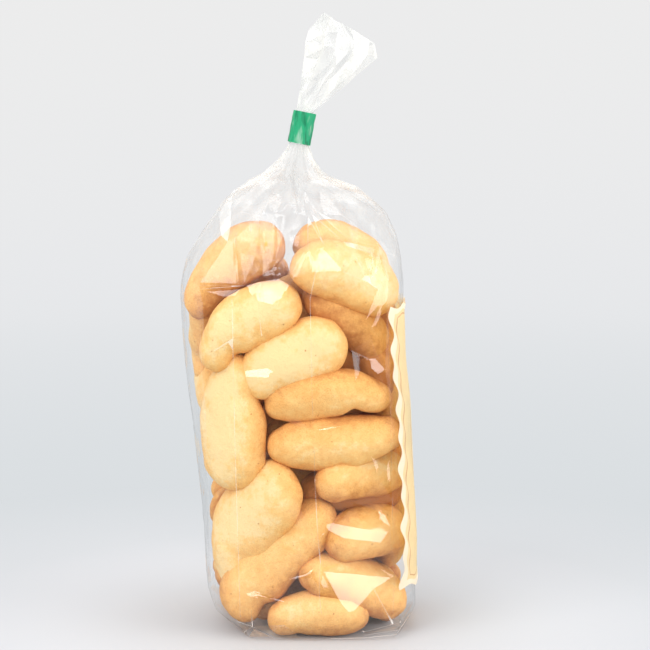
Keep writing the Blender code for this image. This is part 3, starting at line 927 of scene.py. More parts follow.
# Facets that mirror the front light: corners, and how milky the facet is.
FACETS = (
    (((12, 182.5), (8.5, 173), (21, 172.5)), 0.12),
    (((-16.5, 168), (-8.5, 169.5), (-4.0, 166.5), (-11.5, 158), (-18, 159.5)), 0.10),
    (((-24, 127.5), (-14, 128.5), (-12.5, 126), (-15.5, 124.5), (-23.5, 125)), 0.0),
    (((32.5, 132.5), (35.5, 132.5), (40, 127.5), (36.5, 125.5)), 0.0),
    (((6.9, 99), (9, 99.5), (7.6, 95)), 0.0),
    (
        (
            (13, 56), (16.5, 56.5), (24, 55), (30.5, 54), (41.5, 53),
            (38, 48), (30.5, 49), (21, 50), (14, 53.5),
        ),
        0.0,
    ),
    (((12, 33), (43.3, 30.5), (35, 25.5), (26, 16), (23.5, 15.5), (20, 19)), 0.0),
    (((7, 34.5), (10, 27), (10.2, 22), (6, 31)), 0.0),
    (((-24, 23), (-20.5, 24.5), (-22, 22)), 0.0),
    (((37.5, 61.5), (39.5, 60), (42.5, 55), (40, 56.5)), 0.0),
)
# Loose facets that catch less light, painted milky: above, as highlights of the film; at the base,
# as biscuits and shade seen in the folds. Their corners, and how milky.
PAINTED_LIGHT_VEILS = (
    (((-37.5, 183.5), (-44, 167.2), (-27.5, 167.2), (-32.3, 184.5)), 0.17),
    (((-26, 180.5), (-19, 179.5), (-24, 167.2)), 0.26),
    (((-34.5, 207), (-31, 203.5), (-30.5, 192.5), (-31.8, 185.5), (-35, 188), (-36.5, 197.5)), 0.60),
    (((-17, 197), (-11.7, 198), (-11.5, 177), (-15.5, 170.5)), 0.22),
    (((20.5, 186), (34.4, 182.5), (33, 180.2), (22, 184)), 0.45),
    (((-27.5, 8.0), (-22, 6.9), (-24.5, 1.4)), 0.50),
    (((-20.5, 6.2), (-12.5, 1.8), (-23, 1.0)), 0.72),
    (((-20, 7.6), (-10.5, 1.9), (1, 1.4), (-6, 8.5)), 0.45),
    (((31.5, 4.2), (46, 6.8), (44.5, 4.8)), 0.45),
)
CREASES = (
    ((-44.5, 165.8), (-24.5, 166.2)),
    ((-44.5, 164.2), (-24.5, 166.2), (-16, 175)),
    ((-24.5, 166.2), (-28.5, 187)),
    ((21, 172.5), (32, 167.6), (26.5, 178.5)),
    ((36, 172), (32, 167.6), (34, 178.5)),
    ((32, 167.6), (36.5, 164.2)),
    ((22, 187.5), (35, 184), (44.4, 178.5)),
    ((4.7, 197), (12, 184.5)),
    ((6.6, 198), (19, 187.5)),
    ((9.3, 199), (36, 186), (41.4, 168)),
    ((-10.5, 196.5), (-9.6, 179)),
    ((-12.8, 176), (-10, 171)),
    ((-9, 177.5), (-7.2, 171)),
    ((-11.5, 173.4), (-6, 174.4), (-3, 172)),
    ((-5.6, 177), (-1.5, 170)),
    ((-28, 9), (-21, 7), (-11.5, 1.2)),
    ((-21.5, 15), (-21, 7), (-24.5, 0.6)),
    ((-11.5, 1.2), (0.8, 0.5), (16, 0.9), (30.4, 1.4), (46, 2.2)),
    ((30.4, 4.6), (47.5, 8)),
    ((31, 3.0), (46.5, 4.6)),
)
PATCHES = FACETS + PAINTED_LIGHT_VEILS
FLAT = set(range(len(FACETS)))
# The middle of the front light, and where the flat facets throw its light to.
SOFTBOX = Vector((0.03, -1.02, 0.43))
VIEWER = Vector((0.0125, -0.855, 0.233))
# How far outside the film the search for a biscuit starts, how far the film stays off a biscuit,
# and the steps from its middle to a corner at which a flat facet is held against the biscuits.
REACH = 0.030
FILM_GAP = 0.0004
PROBE_STEPS = 6

# Heights of the rows of pleats; the lowest three wander up and down, the last two lie in the tie.
PLEAT_ROWS = (0.198, 0.203, 0.2075, 0.211, 0.2145, 0.219, 0.2245, 0.230, NECK_TOP)
WANDERING_ROWS = 3
TIED_ROWS = 2
PLEAT_DEPTH = 0.0022
# The most a pleat is deep as a share of the neck's radius, and the shares of its depth it may have.
PLEAT_SHARE = 0.15
PLEAT_SPREAD = (0.2, 1.0)
TIED_DEPTH = 0.0005
ROW_WANDER = 0.0015
COLUMN_WANDER = 0.35
# Of the edges that run up the pleats, one in this many shows.
SHOWN_PLEATS = 5
# Heights between which the film turns from tight and clear to loose and milky, and those between
# which the gathered layers make it milkier still.
LOOSE = (0.158, 0.192)
GATHERED = (0.200, 0.222)
# How much milkier the gathered film is, and how much the facets vary.
GATHERED_MILK = 0.9
MILK_SPREAD = (0.7, 1.2)
# Corners along the edge of the base are about this far apart.
BASE_SPACING = 0.010
# Places that are tried for the corners of the crumpled film, and how far these stay from the
# seam and from the ends, how far they lie apart, and how far in or out, as shares of the
# settings. Where the film is loose it is crumpled deeper, by the last share.
TRIED_SITES = 12000
SEAM_SHARE = 0.3
END_SHARE = 0.25
APART = (0.6, 1.25)
IN_AND_OUT = (-1.0, 0.6)
LOOSE_DEEPER = 1.3
# Seeds of the random corners, and of the random swell and milkiness of the facets.
SITE_SEED = 14
FACET_SEED = 5
# Each facet is divided into this many parts a side, and swells by this share of its size. Inside
# the stated facets and veils it swells less, by the last share.
FACET_PARTS = 4
FACET_BULGE = 0.035
FLAT_BULGE = 0.06
# Shares of the film's free edges that show as creases, with painted highlights, where it is tight
# and where it is loose.
SHOWN_TIGHT = 0.015
SHOWN_LOOSE = 0.14


def inside(corners, place):
    """Whether a place lies inside a polygon in the film's unrolled plane."""
    within = False
    for first, second in zip(corners, corners[1:] + corners[:1]):
        if (first.y > place.y) != (second.y > place.y):
            share = (place.y - first.y) / (second.y - first.y)
            if place.x < first.x + share * (second.x - first.x):
                within = not within
    return within


class Sites:
    """Corners of the crumpled film in its unrolled plane, and the creases between them."""

    def __init__(self):
        self.places = []
        self.outs = []
        self.points = {}
        self.creases = []
        self.shown = []
        self.patches = []

    def add(self, run, rise, out=0.0):
        self.places.append(Vector((run, rise)))
        self.outs.append(out)
        return len(self.places) - 1

    def add_spot(self, spot, out, back=False):
        """Adds a corner at (x, z) in millimetres, on the front or the back."""
        x, height = (0.001 * value for value in spot)
        return self.add(run_at(x, height, back), rise_at(height), out)

    def chain(self, indices, shown, closed=False):
        """Joins corners by creases, which show or only bend the film."""
        ends = indices[1:] + indices[:1] if closed else indices[1:]
        for first, second in zip(indices, ends):
            self.creases.append((first, second))
            self.shown.append(shown)

    def far_from(self, run, rise, least):
        place = Vector((run, rise))
        return all((other - place).length > least for other in self.places)

    def patch_at(self, place):
        """The facet or veil that a place lies in, or None."""
        numbers = (number for number, corners in enumerate(self.patches) if inside(corners, place))
        return next(numbers, None)


def mirror_normal(point):
    """The direction a facet faces where it throws the front light to the viewer."""
    return ((VIEWER - point).normalized() + (SOFTBOX - point).normalized()).normalized()


def flat_spots(corners):
    """Corners of a facet in the plane that throws the front light to the viewer, and its middle."""
    corners = [(0.001 * x, 0.001 * z) for x, z in corners]
    middle_x = sum(x for x, _ in corners) / len(corners)
    middle_z = sum(z for _, z in corners) / len(corners)
    middle = film_point(run_at(middle_x, middle_z), rise_at(middle_z))
    facing = mirror_normal(middle)
    spots = []
    for x, z in corners:
        slope = facing.x * (x - middle.x) + facing.z * (z - middle.z)
        spots.append(Vector((x, middle.y - slope / facing.y, z)))
    return spots, middle


def push_out(spot, outward, rests_on):
    """How far a spot of the film has to move out to lie on the biscuits, negative if it is clear."""
    distance = rests_on.ray_cast(spot + outward * REACH, -outward, REACH + FILM_GAP)[3]
    return -REACH if distance is None else REACH + FILM_GAP - distance


def facet_sites(sites, rests_on):
    """Facets of the front film. One that mirrors is flat, and moved out whole off the biscuits."""
    outward = Vector((0.0, -1.0, 0.0))
    for number, (corners, _) in enumerate(PATCHES):
        indices = [sites.add_spot(corner, PATCH_OUT) for corner in corners]
        sites.chain(indices, 0, closed=True)
        sites.patches.append([sites.places[index] for index in indices])
        if number not in FLAT:
            sites.points.update({index: (number, None) for index in indices})
            continue
        spots, middle = flat_spots(corners)
        probes = [
            middle.lerp(spot, step / PROBE_STEPS)
            for spot in spots
            for step in range(PROBE_STEPS + 1)
        ]
        push = outward * max(0.0, *(push_out(probe, outward, rests_on) for probe in probes))
        sites.points.update({index: (number, spot + push) for index, spot in zip(indices, spots)})


def crease_sites(sites):
    """Folds of the gussets, on the front and the back, and the thin creases."""
    for line, out in zip(FRONT_FOLDS, FOLD_OUTS):
        for back in (False, True):
            sites.chain([sites.add_spot(spot, out, back) for spot in line], 1)
    for line in CREASES:
        sites.chain([sites.add_spot(spot, CREASE_OUT) for spot in line], 1)


def pleat_depth(number, radius):
    """How deep a row of pleats is, where the neck has this radius."""
    depth = min(PLEAT_DEPTH, PLEAT_SHARE * radius) * smooth_step(-1.0, 3.0, number)
    return min(depth, TIED_DEPTH) if number >= len(PLEAT_ROWS) - TIED_ROWS else depth


def pleat_sites(sites, pleats, chance):
    """Ridges and valleys gathered into the neck, with the seam's column at both edges."""
    columns = 2 * pleats
    rows = []
    for number, height in enumerate(PLEAT_ROWS):
        rise = rise_at(height)
        _, half_width, half_depth, _ = film_at(height)
        depth = pleat_depth(number, 0.5 * (half_width + half_depth))
        calm = 1.0 - number / len(PLEAT_ROWS)
        row = []
        for column in range(columns):
            wander = chance.uniform(-COLUMN_WANDER, COLUMN_WANDER) * calm if column else 0.0
            out = depth * (1.0 if column % 2 else -1.0) * chance.uniform(*PLEAT_SPREAD)
            row.append((PERIMETER * (column + wander) / columns, out))
        row.append((PERIMETER, row[0][1]))
        indices = []
        for run, out in row:
            lift = chance.uniform(-ROW_WANDER, ROW_WANDER) if 0.0 < run < PERIMETER else 0.0
            indices.append(sites.add(run, rise + (lift if number < WANDERING_ROWS else 0.0), out))
        rows.append(indices)
    for lower, upper in zip(rows[WANDERING_ROWS - 1 :], rows[WANDERING_ROWS:]):
        for column, (first, second) in enumerate(zip(lower, upper)):
            sites.creases.append((first, second))
            sites.shown.append(int(column % SHOWN_PLEATS == 1))


def film_sites(settings, rests_on):
    """All corners of the film's facets."""
    chance = random.Random(SITE_SEED)
    sites = Sites()
    facet_sites(sites, rests_on)
    crease_sites(sites)
    spacing = settings.facet
    top = rise_at(PLEAT_ROWS[0])
    loose_low, loose_high = (rise_at(height) for height in LOOSE)
    seam_rows = round(top / spacing)
    for edge in (0.0, PERIMETER):
        sites.chain([sites.add(edge, top * row / seam_rows) for row in range(seam_rows)], 0)
    base = round(PERIMETER / BASE_SPACING)
    for step in range(1, base):
        sites.add(PERIMETER * step / base, 0.0)
    pleat_sites(sites, settings.pleats, chance)
    for _ in range(TRIED_SITES):
        run = chance.uniform(SEAM_SHARE * spacing, PERIMETER - SEAM_SHARE * spacing)
        rise = chance.uniform(END_SHARE * spacing, top - END_SHARE * spacing)
        loose = smooth_step(loose_low, loose_high, rise)
        out = settings.crumple * (1.0 + LOOSE_DEEPER * loose) * chance.uniform(*IN_AND_OUT)
        least = spacing * chance.uniform(*APART)
        if sites.far_from(run, rise, least) and sites.patch_at(Vector((run, rise))) is None:
            sites.add(run, rise, out)
    return sites


def fold_x(line, height):
    """Where a fold lies across at a height."""
    level = 1000.0 * height
    spots = sorted(line, key=lambda spot: spot[1])
    return 0.001 * lookup([spot[1] for spot in spots], [spot[0] for spot in spots], level)


def facet_milk(centre, patch, haze, chance):
    """How milky a facet is, as a multiple of the loose film's haze."""
    layers = 1.0 + GATHERED_MILK * smooth_step(*GATHERED, centre.z)
    milk = smooth_step(*LOOSE, centre.z) * chance.uniform(*MILK_SPREAD) * layers
    # In a veil, the milkiness is a painted highlight, or at the base painted biscuits and shade.
    if patch is not None:
        return PATCHES[patch][1] / haze
    if centre.y < DOUBLE_BACK and centre.x < fold_x(FRONT_FOLDS[DOUBLE_FOLD], centre.z):
        return max(milk, DOUBLE_MILKY)
    return milk


def placed_corners(sites, places, origins):
    """Where each corner of the film lies in the bag, and the facet or veil it is part of, if any."""
    spots = []
    patches = []
    for place, origin in zip(places, origins):
        known = (sites.points[index] for index in origin if index in sites.points)
        patch, spot = next(known, (None, None))
        if spot is None:
            out = sites.outs[origin[0]] if origin else 0.0
            spot = film_point(place.x, place.y) + film_out(place.x, place.y) * out
        spots.append(spot)
        patches.append(patch)
    return spots, patches


def shown_creases(sites, spots, edges, origins, chance):
    """The edges that show as creases: the stated ones, and a few of the others."""
    shown = set()
    for edge, origin in zip(edges, origins):
        height = 0.5 * (spots[edge[0]].z + spots[edge[1]].z)
        likely = SHOWN_TIGHT + (SHOWN_LOOSE - SHOWN_TIGHT) * smooth_step(*LOOSE, height)
        if sites.shown[origin[0]] if origin else chance.random() < likely:
            shown.add(frozenset(edge))
    return shown


def film_facets(sites, bulge, haze):
    """Triangles of the unrolled film, each divided finely and bulged a little.

    The mesh carries how milky each facet is, where its creases run, and which corners stay put.
    """
    places, edges, faces, origins, edge_origins, _ = geometry.delaunay_2d_cdt(
        sites.places, sites.creases, [], 0, 1e-7
    )
    chance = random.Random(FACET_SEED)
    spots, patches = placed_corners(sites, places, origins)
    shown = shown_creases(sites, spots, edges, edge_origins, chance)
    creased = {index for edge in shown for index in edge}
    cage = bmesh.new()
    crease = cage.verts.layers.float.new("crease")
    settled = cage.verts.layers.int.new("settled")
    milky = cage.faces.layers.float.new("milky")
    parts = FACET_PARTS
    for face in faces:
        first, second, third = (spots[index] for index in face)
        patch = sites.patch_at((places[face[0]] + places[face[1]] + places[face[2]]) / 3.0)
        normal = (second - first).cross(third - first)
        size = math.sqrt(normal.length)
        normal.normalize()
        swell = bulge * size * chance.uniform(-1.0, 1.0) * (1.0 if patch is None else FLAT_BULGE)
        milk = facet_milk((first + second + third) / 3.0, patch, haze, chance)
        grid = {}
        for row in range(parts + 1):
            for column in range(parts + 1 - row):
                shares = (parts - row - column, row, column)
                a, b, c = (share / parts for share in shares)
                # The swell is full in the middle of the facet, where a, b and c are a third.
                point = first * a + second * b + third * c + normal * swell * 27.0 * a * b * c
                vert = cage.verts.new(point)
                used = [index for index, share in zip(face, shares) if share]
                if len(used) == 1:
                    vert[crease] = float(used[0] in creased)
                elif len(used) == 2:
                    vert[crease] = float(frozenset(used) in shown)
                held = {patches[index] for index in used}
                vert[settled] = int(len(held) == 1 and held <= FLAT)
                grid[row, column] = vert
        for row in range(parts):
            for column in range(parts - row):
                low, up, aside = (row, column), (row + 1, column), (row, column + 1)
                made = [cage.faces.new((grid[low], grid[up], grid[aside]))]
                if column < parts - row - 1:
                    made.append(cage.faces.new((grid[up], grid[row + 1, column + 1], grid[aside])))
                for part in made:
                    part[milky] = milk
    bmesh.ops.remove_doubles(cage, verts=cage.verts, dist=1e-6)
    return cage


def clear_of_biscuits(cage, rests_on):
    """Moves the film out where a biscuit pushes against it."""
    settled = cage.verts.layers.int["settled"]
    moves = []
    for vert in cage.verts:
        out = Vector((vert.co.x, vert.co.y, 0.0)).normalized()
        push = 0.0 if vert[settled] else push_out(vert.co, out, rests_on)
        moves.append(out * max(push, 0.0))
    for vert, move in zip(cage.verts, moves):
        vert.co += move


# Colour of milky film, and the painted colour of the layers folded under the base: painted
# biscuits and shade, as they would show through and mirror in the folds.
FILM_WHITE = (0.84, 0.825, 0.785)
FOLD_PAINTED_SHADE = (0.66, 0.47, 0.33)
# Heights between which the folded layers end, for their painted shade and for their creases.
SHADE_ENDS = (0.007, 0.013)
LAYERS_END = (0.009, 0.014)


def film_shader(tree, settings, haze, body):
    """Clear film: reflects more at a slant, lets the rest through, with a little white haze."""
    slant = tree.add("ShaderNodeLayerWeight").outputs["Facing"]
    mirrored = tree.math("MULTIPLY_ADD", tree.math("POWER", slant, 5.0), 0.55, settings.gloss)
    reflects = tree.math("MULTIPLY", mirrored, tree.scaled(haze, 0.02, 0.20, 1.0, 0.35), clamp=True)
    clear = tree.named("ShaderNodeBsdfTransparent", {"Color": (0.985, 0.99, 0.992)})
    roughness = tree.scaled(haze, 0.02, 0.22, 0.045, 0.30)
    gloss = tree.named("ShaderNodeBsdfGlossy", {"Roughness": roughness})
    film = tree.blend(reflects, clear.outputs[0], gloss.outputs[0])
    return tree.blend(haze, film, body)


def film_material(name, settings, haze, creases):
    """Clear film with a milky haze and thin white creases painted as highlights, both following the
    mesh's attributes, and painted shade on the folds at the base.
    """
    made = new_material(name)
    tree = Tree(made.node_tree)
    place = tree.place()
    height = tree.axes(place)["Z"]
    streaks = tree.group(film_haze(), Clear=0.45, Cloudy=1.7, Scale=110.0).outputs["Mask"]
    # The milkiness is the haze of layered film, and in the veils painted highlights and shade.
    milk = tree.math("MULTIPLY", tree.math("MULTIPLY", tree.attribute("milky"), haze), streaks)
    narrow = tree.scaled(height, *LAYERS_END, 0.62, 0.86)
    # Painted highlights: thin white lines along the creases, full strength on the folds at the base.
    line = tree.scaled(tree.attribute("crease"), narrow, 1.0)
    fading = tree.scaled(tree.noise(place, 50.0, 1.0), 0.36, 0.66, 0.10, 1.0)
    folded = tree.scaled(height, *LAYERS_END, 0.95, 0.0)
    strength = tree.math("MAXIMUM", tree.math("MULTIPLY", fading, creases), folded)
    crease_highlights = tree.math("MULTIPLY", line, strength)
    cover = tree.math("ADD", tree.math("MAXIMUM", milk, crease_highlights), 0.003, clamp=True)
    # Painted shade and biscuit colour on the folds at the base.
    tint = tree.mix(tree.scaled(height, *SHADE_ENDS), FOLD_PAINTED_SHADE, FILM_WHITE)
    tint = tree.mix(crease_highlights, tint, FILM_WHITE)
    milky = tree.principled(Base_Color=tint, Roughness=0.45, Specular_IOR_Level=0.4)
    tree.output(film_shader(tree, settings, cover, milky))
    return made


def biscuit_tree():
    """What the film rests on, in the bag's own frame."""
    whole = joined([cage for cages in biscuit_cages().values() for cage in cages])
    tree = BVHTree.FromBMesh(whole)
    whole.free()
    return tree


class BISCUITBAG_OT_film(bpy.types.Operator):
    """Adds the clear film from the base to the tie, crumpled, creased and pleated"""

    bl_idname = "biscuit_bag.film"
    bl_label = "Film"

    def execute(self, context):
        settings = context.scene.biscuit_bag_film
        rests_on = biscuit_tree()
        cage = film_facets(film_sites(settings, rests_on), FACET_BULGE, settings.haze)
        clear_of_biscuits(cage, rests_on)
        bmesh.ops.recalc_face_normals(cage, faces=cage.faces)
        clear = film_material("clear_film", settings, settings.haze, BODY_CREASES)
        made = finish_mesh(cage, "film_body", clear, sharp=math.radians(9))
        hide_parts("bag")
        return {"FINISHED"}


def tuft_point(share, along):
    """A point of the open end's outline, at shares round it and along it, and the middle there."""
    last = len(TUFT_SECTIONS) - 1
    number = min(int(along * last), last - 1)
    part = along * last - number
    low = TUFT_SECTIONS[number]
    high = TUFT_SECTIONS[number + 1]
    left, right = (
        Vector((x, 0.0, z)).lerp(Vector((upper_x, 0.0, upper_z)), part)
        for (x, z), (upper_x, upper_z) in zip(low[:2], high[:2])
    )
    half_depth = low[2] + (high[2] - low[2]) * part
    around = 2.0 * math.pi * share
    point = left.lerp(right, 0.5 + 0.5 * math.cos(around))
    point.y = half_depth * math.sin(around)
    return point, left.lerp(right, 0.5)


TUFT_FOLDS = 9
TUFT_ROWS = 8
TUFT_SEED = 23
# Between which shares of its length the tuft opens out, how far its corners wander round and
# along it, and how deep its folds are while closed, how much deeper when open and at most.
TUFT_OPENS = (0.12, 0.55)
TUFT_WANDER = (0.011, 0.02)
CLOSED_FOLDS = 0.10
OPEN_FOLDS = 0.42
DEEPEST_FOLD = 0.75
FOLD_SPREAD = (0.6, 1.3)
RIDGE_DIP = 0.05
# Share of the ridges that show as creases with painted highlights, and how much the facets'
# milkiness varies.
CREASED_RIDGES = 0.75
TUFT_MILK = (0.15, 1.2)
# Milkiness of the open end, and strength of the painted highlights along the creases of the open
# end and of the film below the tie.
TUFT_HAZE = 0.64
TUFT_CREASES = 0.7
BODY_CREASES = 0.5


def tuft_cage():
    """The open end above the tie: film folded to and fro, crumpled and fanned out to +X."""
    chance = random.Random(TUFT_SEED)
    columns = 2 * TUFT_FOLDS
    aside, onward = TUFT_WANDER
    cage = bmesh.new()
    crease = cage.verts.layers.float.new("crease")
    milky = cage.faces.layers.float.new("milky")
    rows = []
    for row in range(TUFT_ROWS + 1):
        along = row / TUFT_ROWS
        open_part = smooth_step(*TUFT_OPENS, along)
        line = []
        for column in range(columns):
            share = column / columns + chance.uniform(-aside, aside) * open_part
            reach = along + chance.uniform(-onward, onward) * open_part
            point, middle = tuft_point(share, min(reach, 1.0))
            deep = (CLOSED_FOLDS + OPEN_FOLDS * open_part) * chance.uniform(*FOLD_SPREAD)
            inward = deep if column % 2 else RIDGE_DIP * chance.random()
            vert = cage.verts.new(point.lerp(middle, min(inward, DEEPEST_FOLD)))
            vert[crease] = float(column % 2 == 0 and chance.random() < CREASED_RIDGES)
            line.append(vert)
        rows.append(line)
    for lower, upper in zip(rows, rows[1:]):
        for column in range(columns):
            after = (column + 1) % columns
            quad = (lower[column], lower[after], upper[after], upper[column])
            turn = chance.randrange(2)
            for first in (turn, turn + 2):
                face = cage.faces.new((quad[first], quad[first - 3], quad[first - 2]))
                face[milky] = chance.uniform(*TUFT_MILK)
    return cage


class BISCUITBAG_OT_tuft(bpy.types.Operator):
    """Adds the open end of the bag above the tie"""

    bl_idname = "biscuit_bag.tuft"
    bl_label = "Tuft"

    def execute(self, context):
        settings = context.scene.biscuit_bag_film
        cage = tuft_cage()
        bmesh.ops.recalc_face_normals(cage, faces=cage.faces)
        cloudy = film_material("crumpled_film", settings, TUFT_HAZE, TUFT_CREASES)
        made = finish_mesh(cage, "film_tuft", cloudy, sharp=math.radians(16))
        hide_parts("bag_top")
        return {"FINISHED"}


# Tape and label


# Steps round the tape and up it, its thickness, and the depth of the dents pressed into it.
TAPE_STEPS = 120
TAPE_ROWS = 10
TAPE_THICKNESS = 0.0002
TAPE_DENTS = 0.00022


def tape_material(trim):
    """Green tape with fine wrinkles that run up it, with painted shade in the dips and painted
    highlights on the ridges.
    """
    made = new_material("green_tape")
    tree = Tree(made.node_tree)
    wrinkle = tree.noise(tree.stretched(tree.place(), 0.16), 420.0, 3.0, 0.6)
    green = tuple(trim.tape)
    # Painted shade in the wrinkles' dips and painted highlights on their ridges.
    shaded_green = tuple(0.62 * c for c in green)
    light = tuple(0.55 * c + 0.42 for c in green)
    colour = tree.ramp(wrinkle, (0.36, shaded_green), (0.47, green), (0.58, green), (0.72, light))
    normal = tree.bump(wrinkle, 0.7, 0.0005)
    tree.output(tree.principled(Base_Color=colour, Roughness=0.30, Normal=normal))
    return made


def tape_cage():
    """The tape, wound a little over one turn, each turn further out than the last."""
    cage = bmesh.new()
    lean = Vector((0.0, 0.0, 1.0)).rotation_difference(TIE_TOP - TIE_BOTTOM)
    grid = []
    for row in range(TAPE_ROWS + 1):
        line = []
        for step in range(TAPE_STEPS + 1):
            turns = TIE_TURNS * step / TAPE_STEPS
            around = TIE_START + 2.0 * math.pi * turns
            spot = Vector((math.cos(around) * 3.0, math.sin(around) * 3.0, row * 0.5))
            radius = TIE_RADIUS + TIE_STEP * turns + TAPE_DENTS * noise.noise(spot)
            rim = lean @ Vector((radius * math.cos(around), radius * math.sin(around), 0.0))
            line.append(cage.verts.new(TIE_BOTTOM.lerp(TIE_TOP, row / TAPE_ROWS) + rim))
        grid.append(line)
    span_grid(cage, grid)
    bmesh.ops.solidify(cage, geom=cage.faces, thickness=TAPE_THICKNESS)
    return cage


class BISCUITBAG_OT_tie(bpy.types.Operator):
    """Adds the tape wound round the neck"""

    bl_idname = "biscuit_bag.tie"
    bl_label = "Tape"

    def execute(self, context):
        cage = tape_cage()
        bmesh.ops.recalc_face_normals(cage, faces=cage.faces)
        green = tape_material(context.scene.biscuit_bag_trim)
        band = finish_mesh(cage, "tape", green, sharp=math.radians(40))
        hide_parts("tie")
        return {"FINISHED"}


def label_x(deep, height):
    """Where the film's +X side lies at a depth and height."""
    middle, half_width, half_depth, square = film_at(height)
    share = min(abs(deep) / half_depth, 0.98)
    return middle + half_width * (1.0 - share**square) ** (1.0 / square)


def edge_wave(place):
    """The wavy outline of the label's edge, about one wave every 14 mm."""
    short, long = WAVE_LENGTHS
    return LABEL_WAVE * (0.62 * math.sin(place / short) + 0.38 * math.sin(place / long + 1.0))


def label_cage():
    """The paper, with a raised border and its distance from the edge as an attribute."""
    cage = bmesh.new()
    inset = cage.verts.layers.float.new("inset")
    label_height = LABEL_TOP - LABEL_BOTTOM
    grid = []
    for row in range(LABEL_ROWS + 1):
        level = LABEL_BOTTOM + label_height * row / LABEL_ROWS
        rise = 2.0 * row / LABEL_ROWS - 1.0
        line = []
        for column in range(LABEL_COLUMNS + 1):
            share = 2.0 * column / LABEL_COLUMNS - 1.0
            deep = share * (LABEL_HALF_WIDTH + edge_wave(level + SIDE_SHIFT * share))
            height = level + rise * abs(rise) ** 3 * edge_wave(deep + END_SHIFT)
            from_side = (1.0 - abs(share)) * LABEL_HALF_WIDTH
            from_end = (1.0 - abs(rise)) * 0.5 * label_height
            edge = min(from_side, from_end)
            raised = BORDER_RISE * (1.0 - smooth_step(*BORDER_SLOPE, edge))
            ripple = PAPER_RIPPLE * noise.noise(Vector((0.0, deep * 90.0, height * 60.0)))
            away = label_x(deep, height) + LABEL_GAP + LABEL_LIFT + raised + ripple
            vert = cage.verts.new((away, deep, height))
            vert[inset] = edge
            line.append(vert)
        grid.append(line)
    span_grid(cage, grid)
    bmesh.ops.solidify(cage, geom=cage.faces, thickness=PAPER_THICKNESS)
    return cage


def oval_reach():
    """How far a place lies out from the middle of a turned oval, whose edge is at 1."""
    group, tree, given, out = new_group(
        "oval reach",
        (
            ("Across", 0.0), ("Up", 0.0), ("Middle across", 0.0), ("Middle up", 0.0),
            ("Half width", 0.01), ("Half height", 0.01), ("Turn", 0.0),
        ),
        (("Reach", "NodeSocketFloat"),),
    )
    across = tree.math("SUBTRACT", given["Across"], given["Middle across"])
    up = tree.math("SUBTRACT", given["Up"], given["Middle up"])
    cosine = tree.math("COSINE", given["Turn"])
    sine = tree.math("SINE", given["Turn"])
    wide = tree.math("MULTIPLY_ADD", across, cosine, tree.math("MULTIPLY", up, sine))
    back = tree.math("MULTIPLY", sine, -1.0)
    high = tree.math("MULTIPLY_ADD", up, cosine, tree.math("MULTIPLY", across, back))
    squares = []
    for length, half in ((wide, "Half width"), (high, "Half height")):
        ratio = tree.math("ABSOLUTE", tree.math("DIVIDE", length, given[half]))
        squares.append(tree.math("POWER", ratio, 2.0))
    tree.put(out["Reach"], tree.math("SQRT", tree.math("ADD", *squares)))
    return group


# The picture on the label, as ovals: middle across and up, half width and height, and turn.
FRAME_OVAL = (0.0, 0.092, 0.0235, 0.0330, 0.0)
FRUIT_OVAL = (0.0, 0.090, 0.0150, 0.0105, 0.45)
FRUIT_TIPS = (0.0, 0.090, 0.0192, 0.0036, 0.45)
LEAF_OVAL = (-0.0085, 0.1045, 0.0085, 0.0036, -0.35)


# Colours of the lemon from its middle to its edge, and of the leaf.
PEEL = ((0.0, (0.96, 0.80, 0.20)), (0.75, (0.93, 0.66, 0.08)), (1.0, (0.80, 0.50, 0.05)))
LEAF = (0.22, 0.42, 0.10)
# Rings of the oval frame: reach and half width, as shares of its size.
FRAME_RINGS = ((1.0, 0.012), (1.06, 0.006))
FRAME_FIELD = 0.97


def label_reaches(tree):
    """How far a place on the label lies out in the frame, the fruit, its tips and the leaf."""
    oval = oval_reach()
    axes = tree.axes(tree.place())
    reaches = []
    for across, up, half_width, half_height, turn in (FRAME_OVAL, FRUIT_OVAL, FRUIT_TIPS, LEAF_OVAL):
        node = tree.group(
            oval, Across=axes["Y"], Up=axes["Z"], Middle_across=across, Middle_up=up,
            Half_width=half_width, Half_height=half_height, Turn=turn,
        )
        reaches.append(node.outputs["Reach"])
    return reaches


def label_material(trim):
    """Cream paper with a pale raised border, a thin line inside it and a lemon in an oval frame."""
    made = new_material("label_paper")
    tree = Tree(made.node_tree)
    paper, border, ink = (tuple(colour) for colour in (trim.paper, trim.border, trim.line))
    grain = tree.group(fine_grain(), Scale=700.0, Depth=0.00005)
    frame_reach, fruit_reach, tip_reach, leaf_reach = label_reaches(tree)
    mottle = tree.scaled(grain.outputs["Mottle"], 0.35, 0.65)
    field = tree.mix(mottle, paper, tuple(0.93 * c for c in paper))
    field = tree.mix(tree.math("LESS_THAN", frame_reach, FRAME_FIELD), field, border)
    rings = [tree.math("COMPARE", frame_reach, *ring) for ring in FRAME_RINGS]
    field = tree.mix(tree.math("MAXIMUM", *rings), field, ink)
    fruit = tree.math("LESS_THAN", tree.math("MINIMUM", fruit_reach, tip_reach), 1.0)
    field = tree.mix(fruit, field, tree.ramp(fruit_reach, *PEEL))
    field = tree.mix(tree.math("LESS_THAN", leaf_reach, 1.0), field, LEAF)
    edge = tree.attribute("inset")
    colour = tree.mix(tree.math("GREATER_THAN", edge, BORDER_WIDTH), border, field)
    line = tree.math("COMPARE", edge, LINE_INSET, LINE_HALF_WIDTH)
    colour = tree.mix(tree.math("MULTIPLY", line, 0.8), colour, ink)
    normal = grain.outputs["Normal"]
    tree.output(
        tree.principled(Base_Color=colour, Roughness=0.8, Specular_IOR_Level=0.2, Normal=normal)
    )
    return made


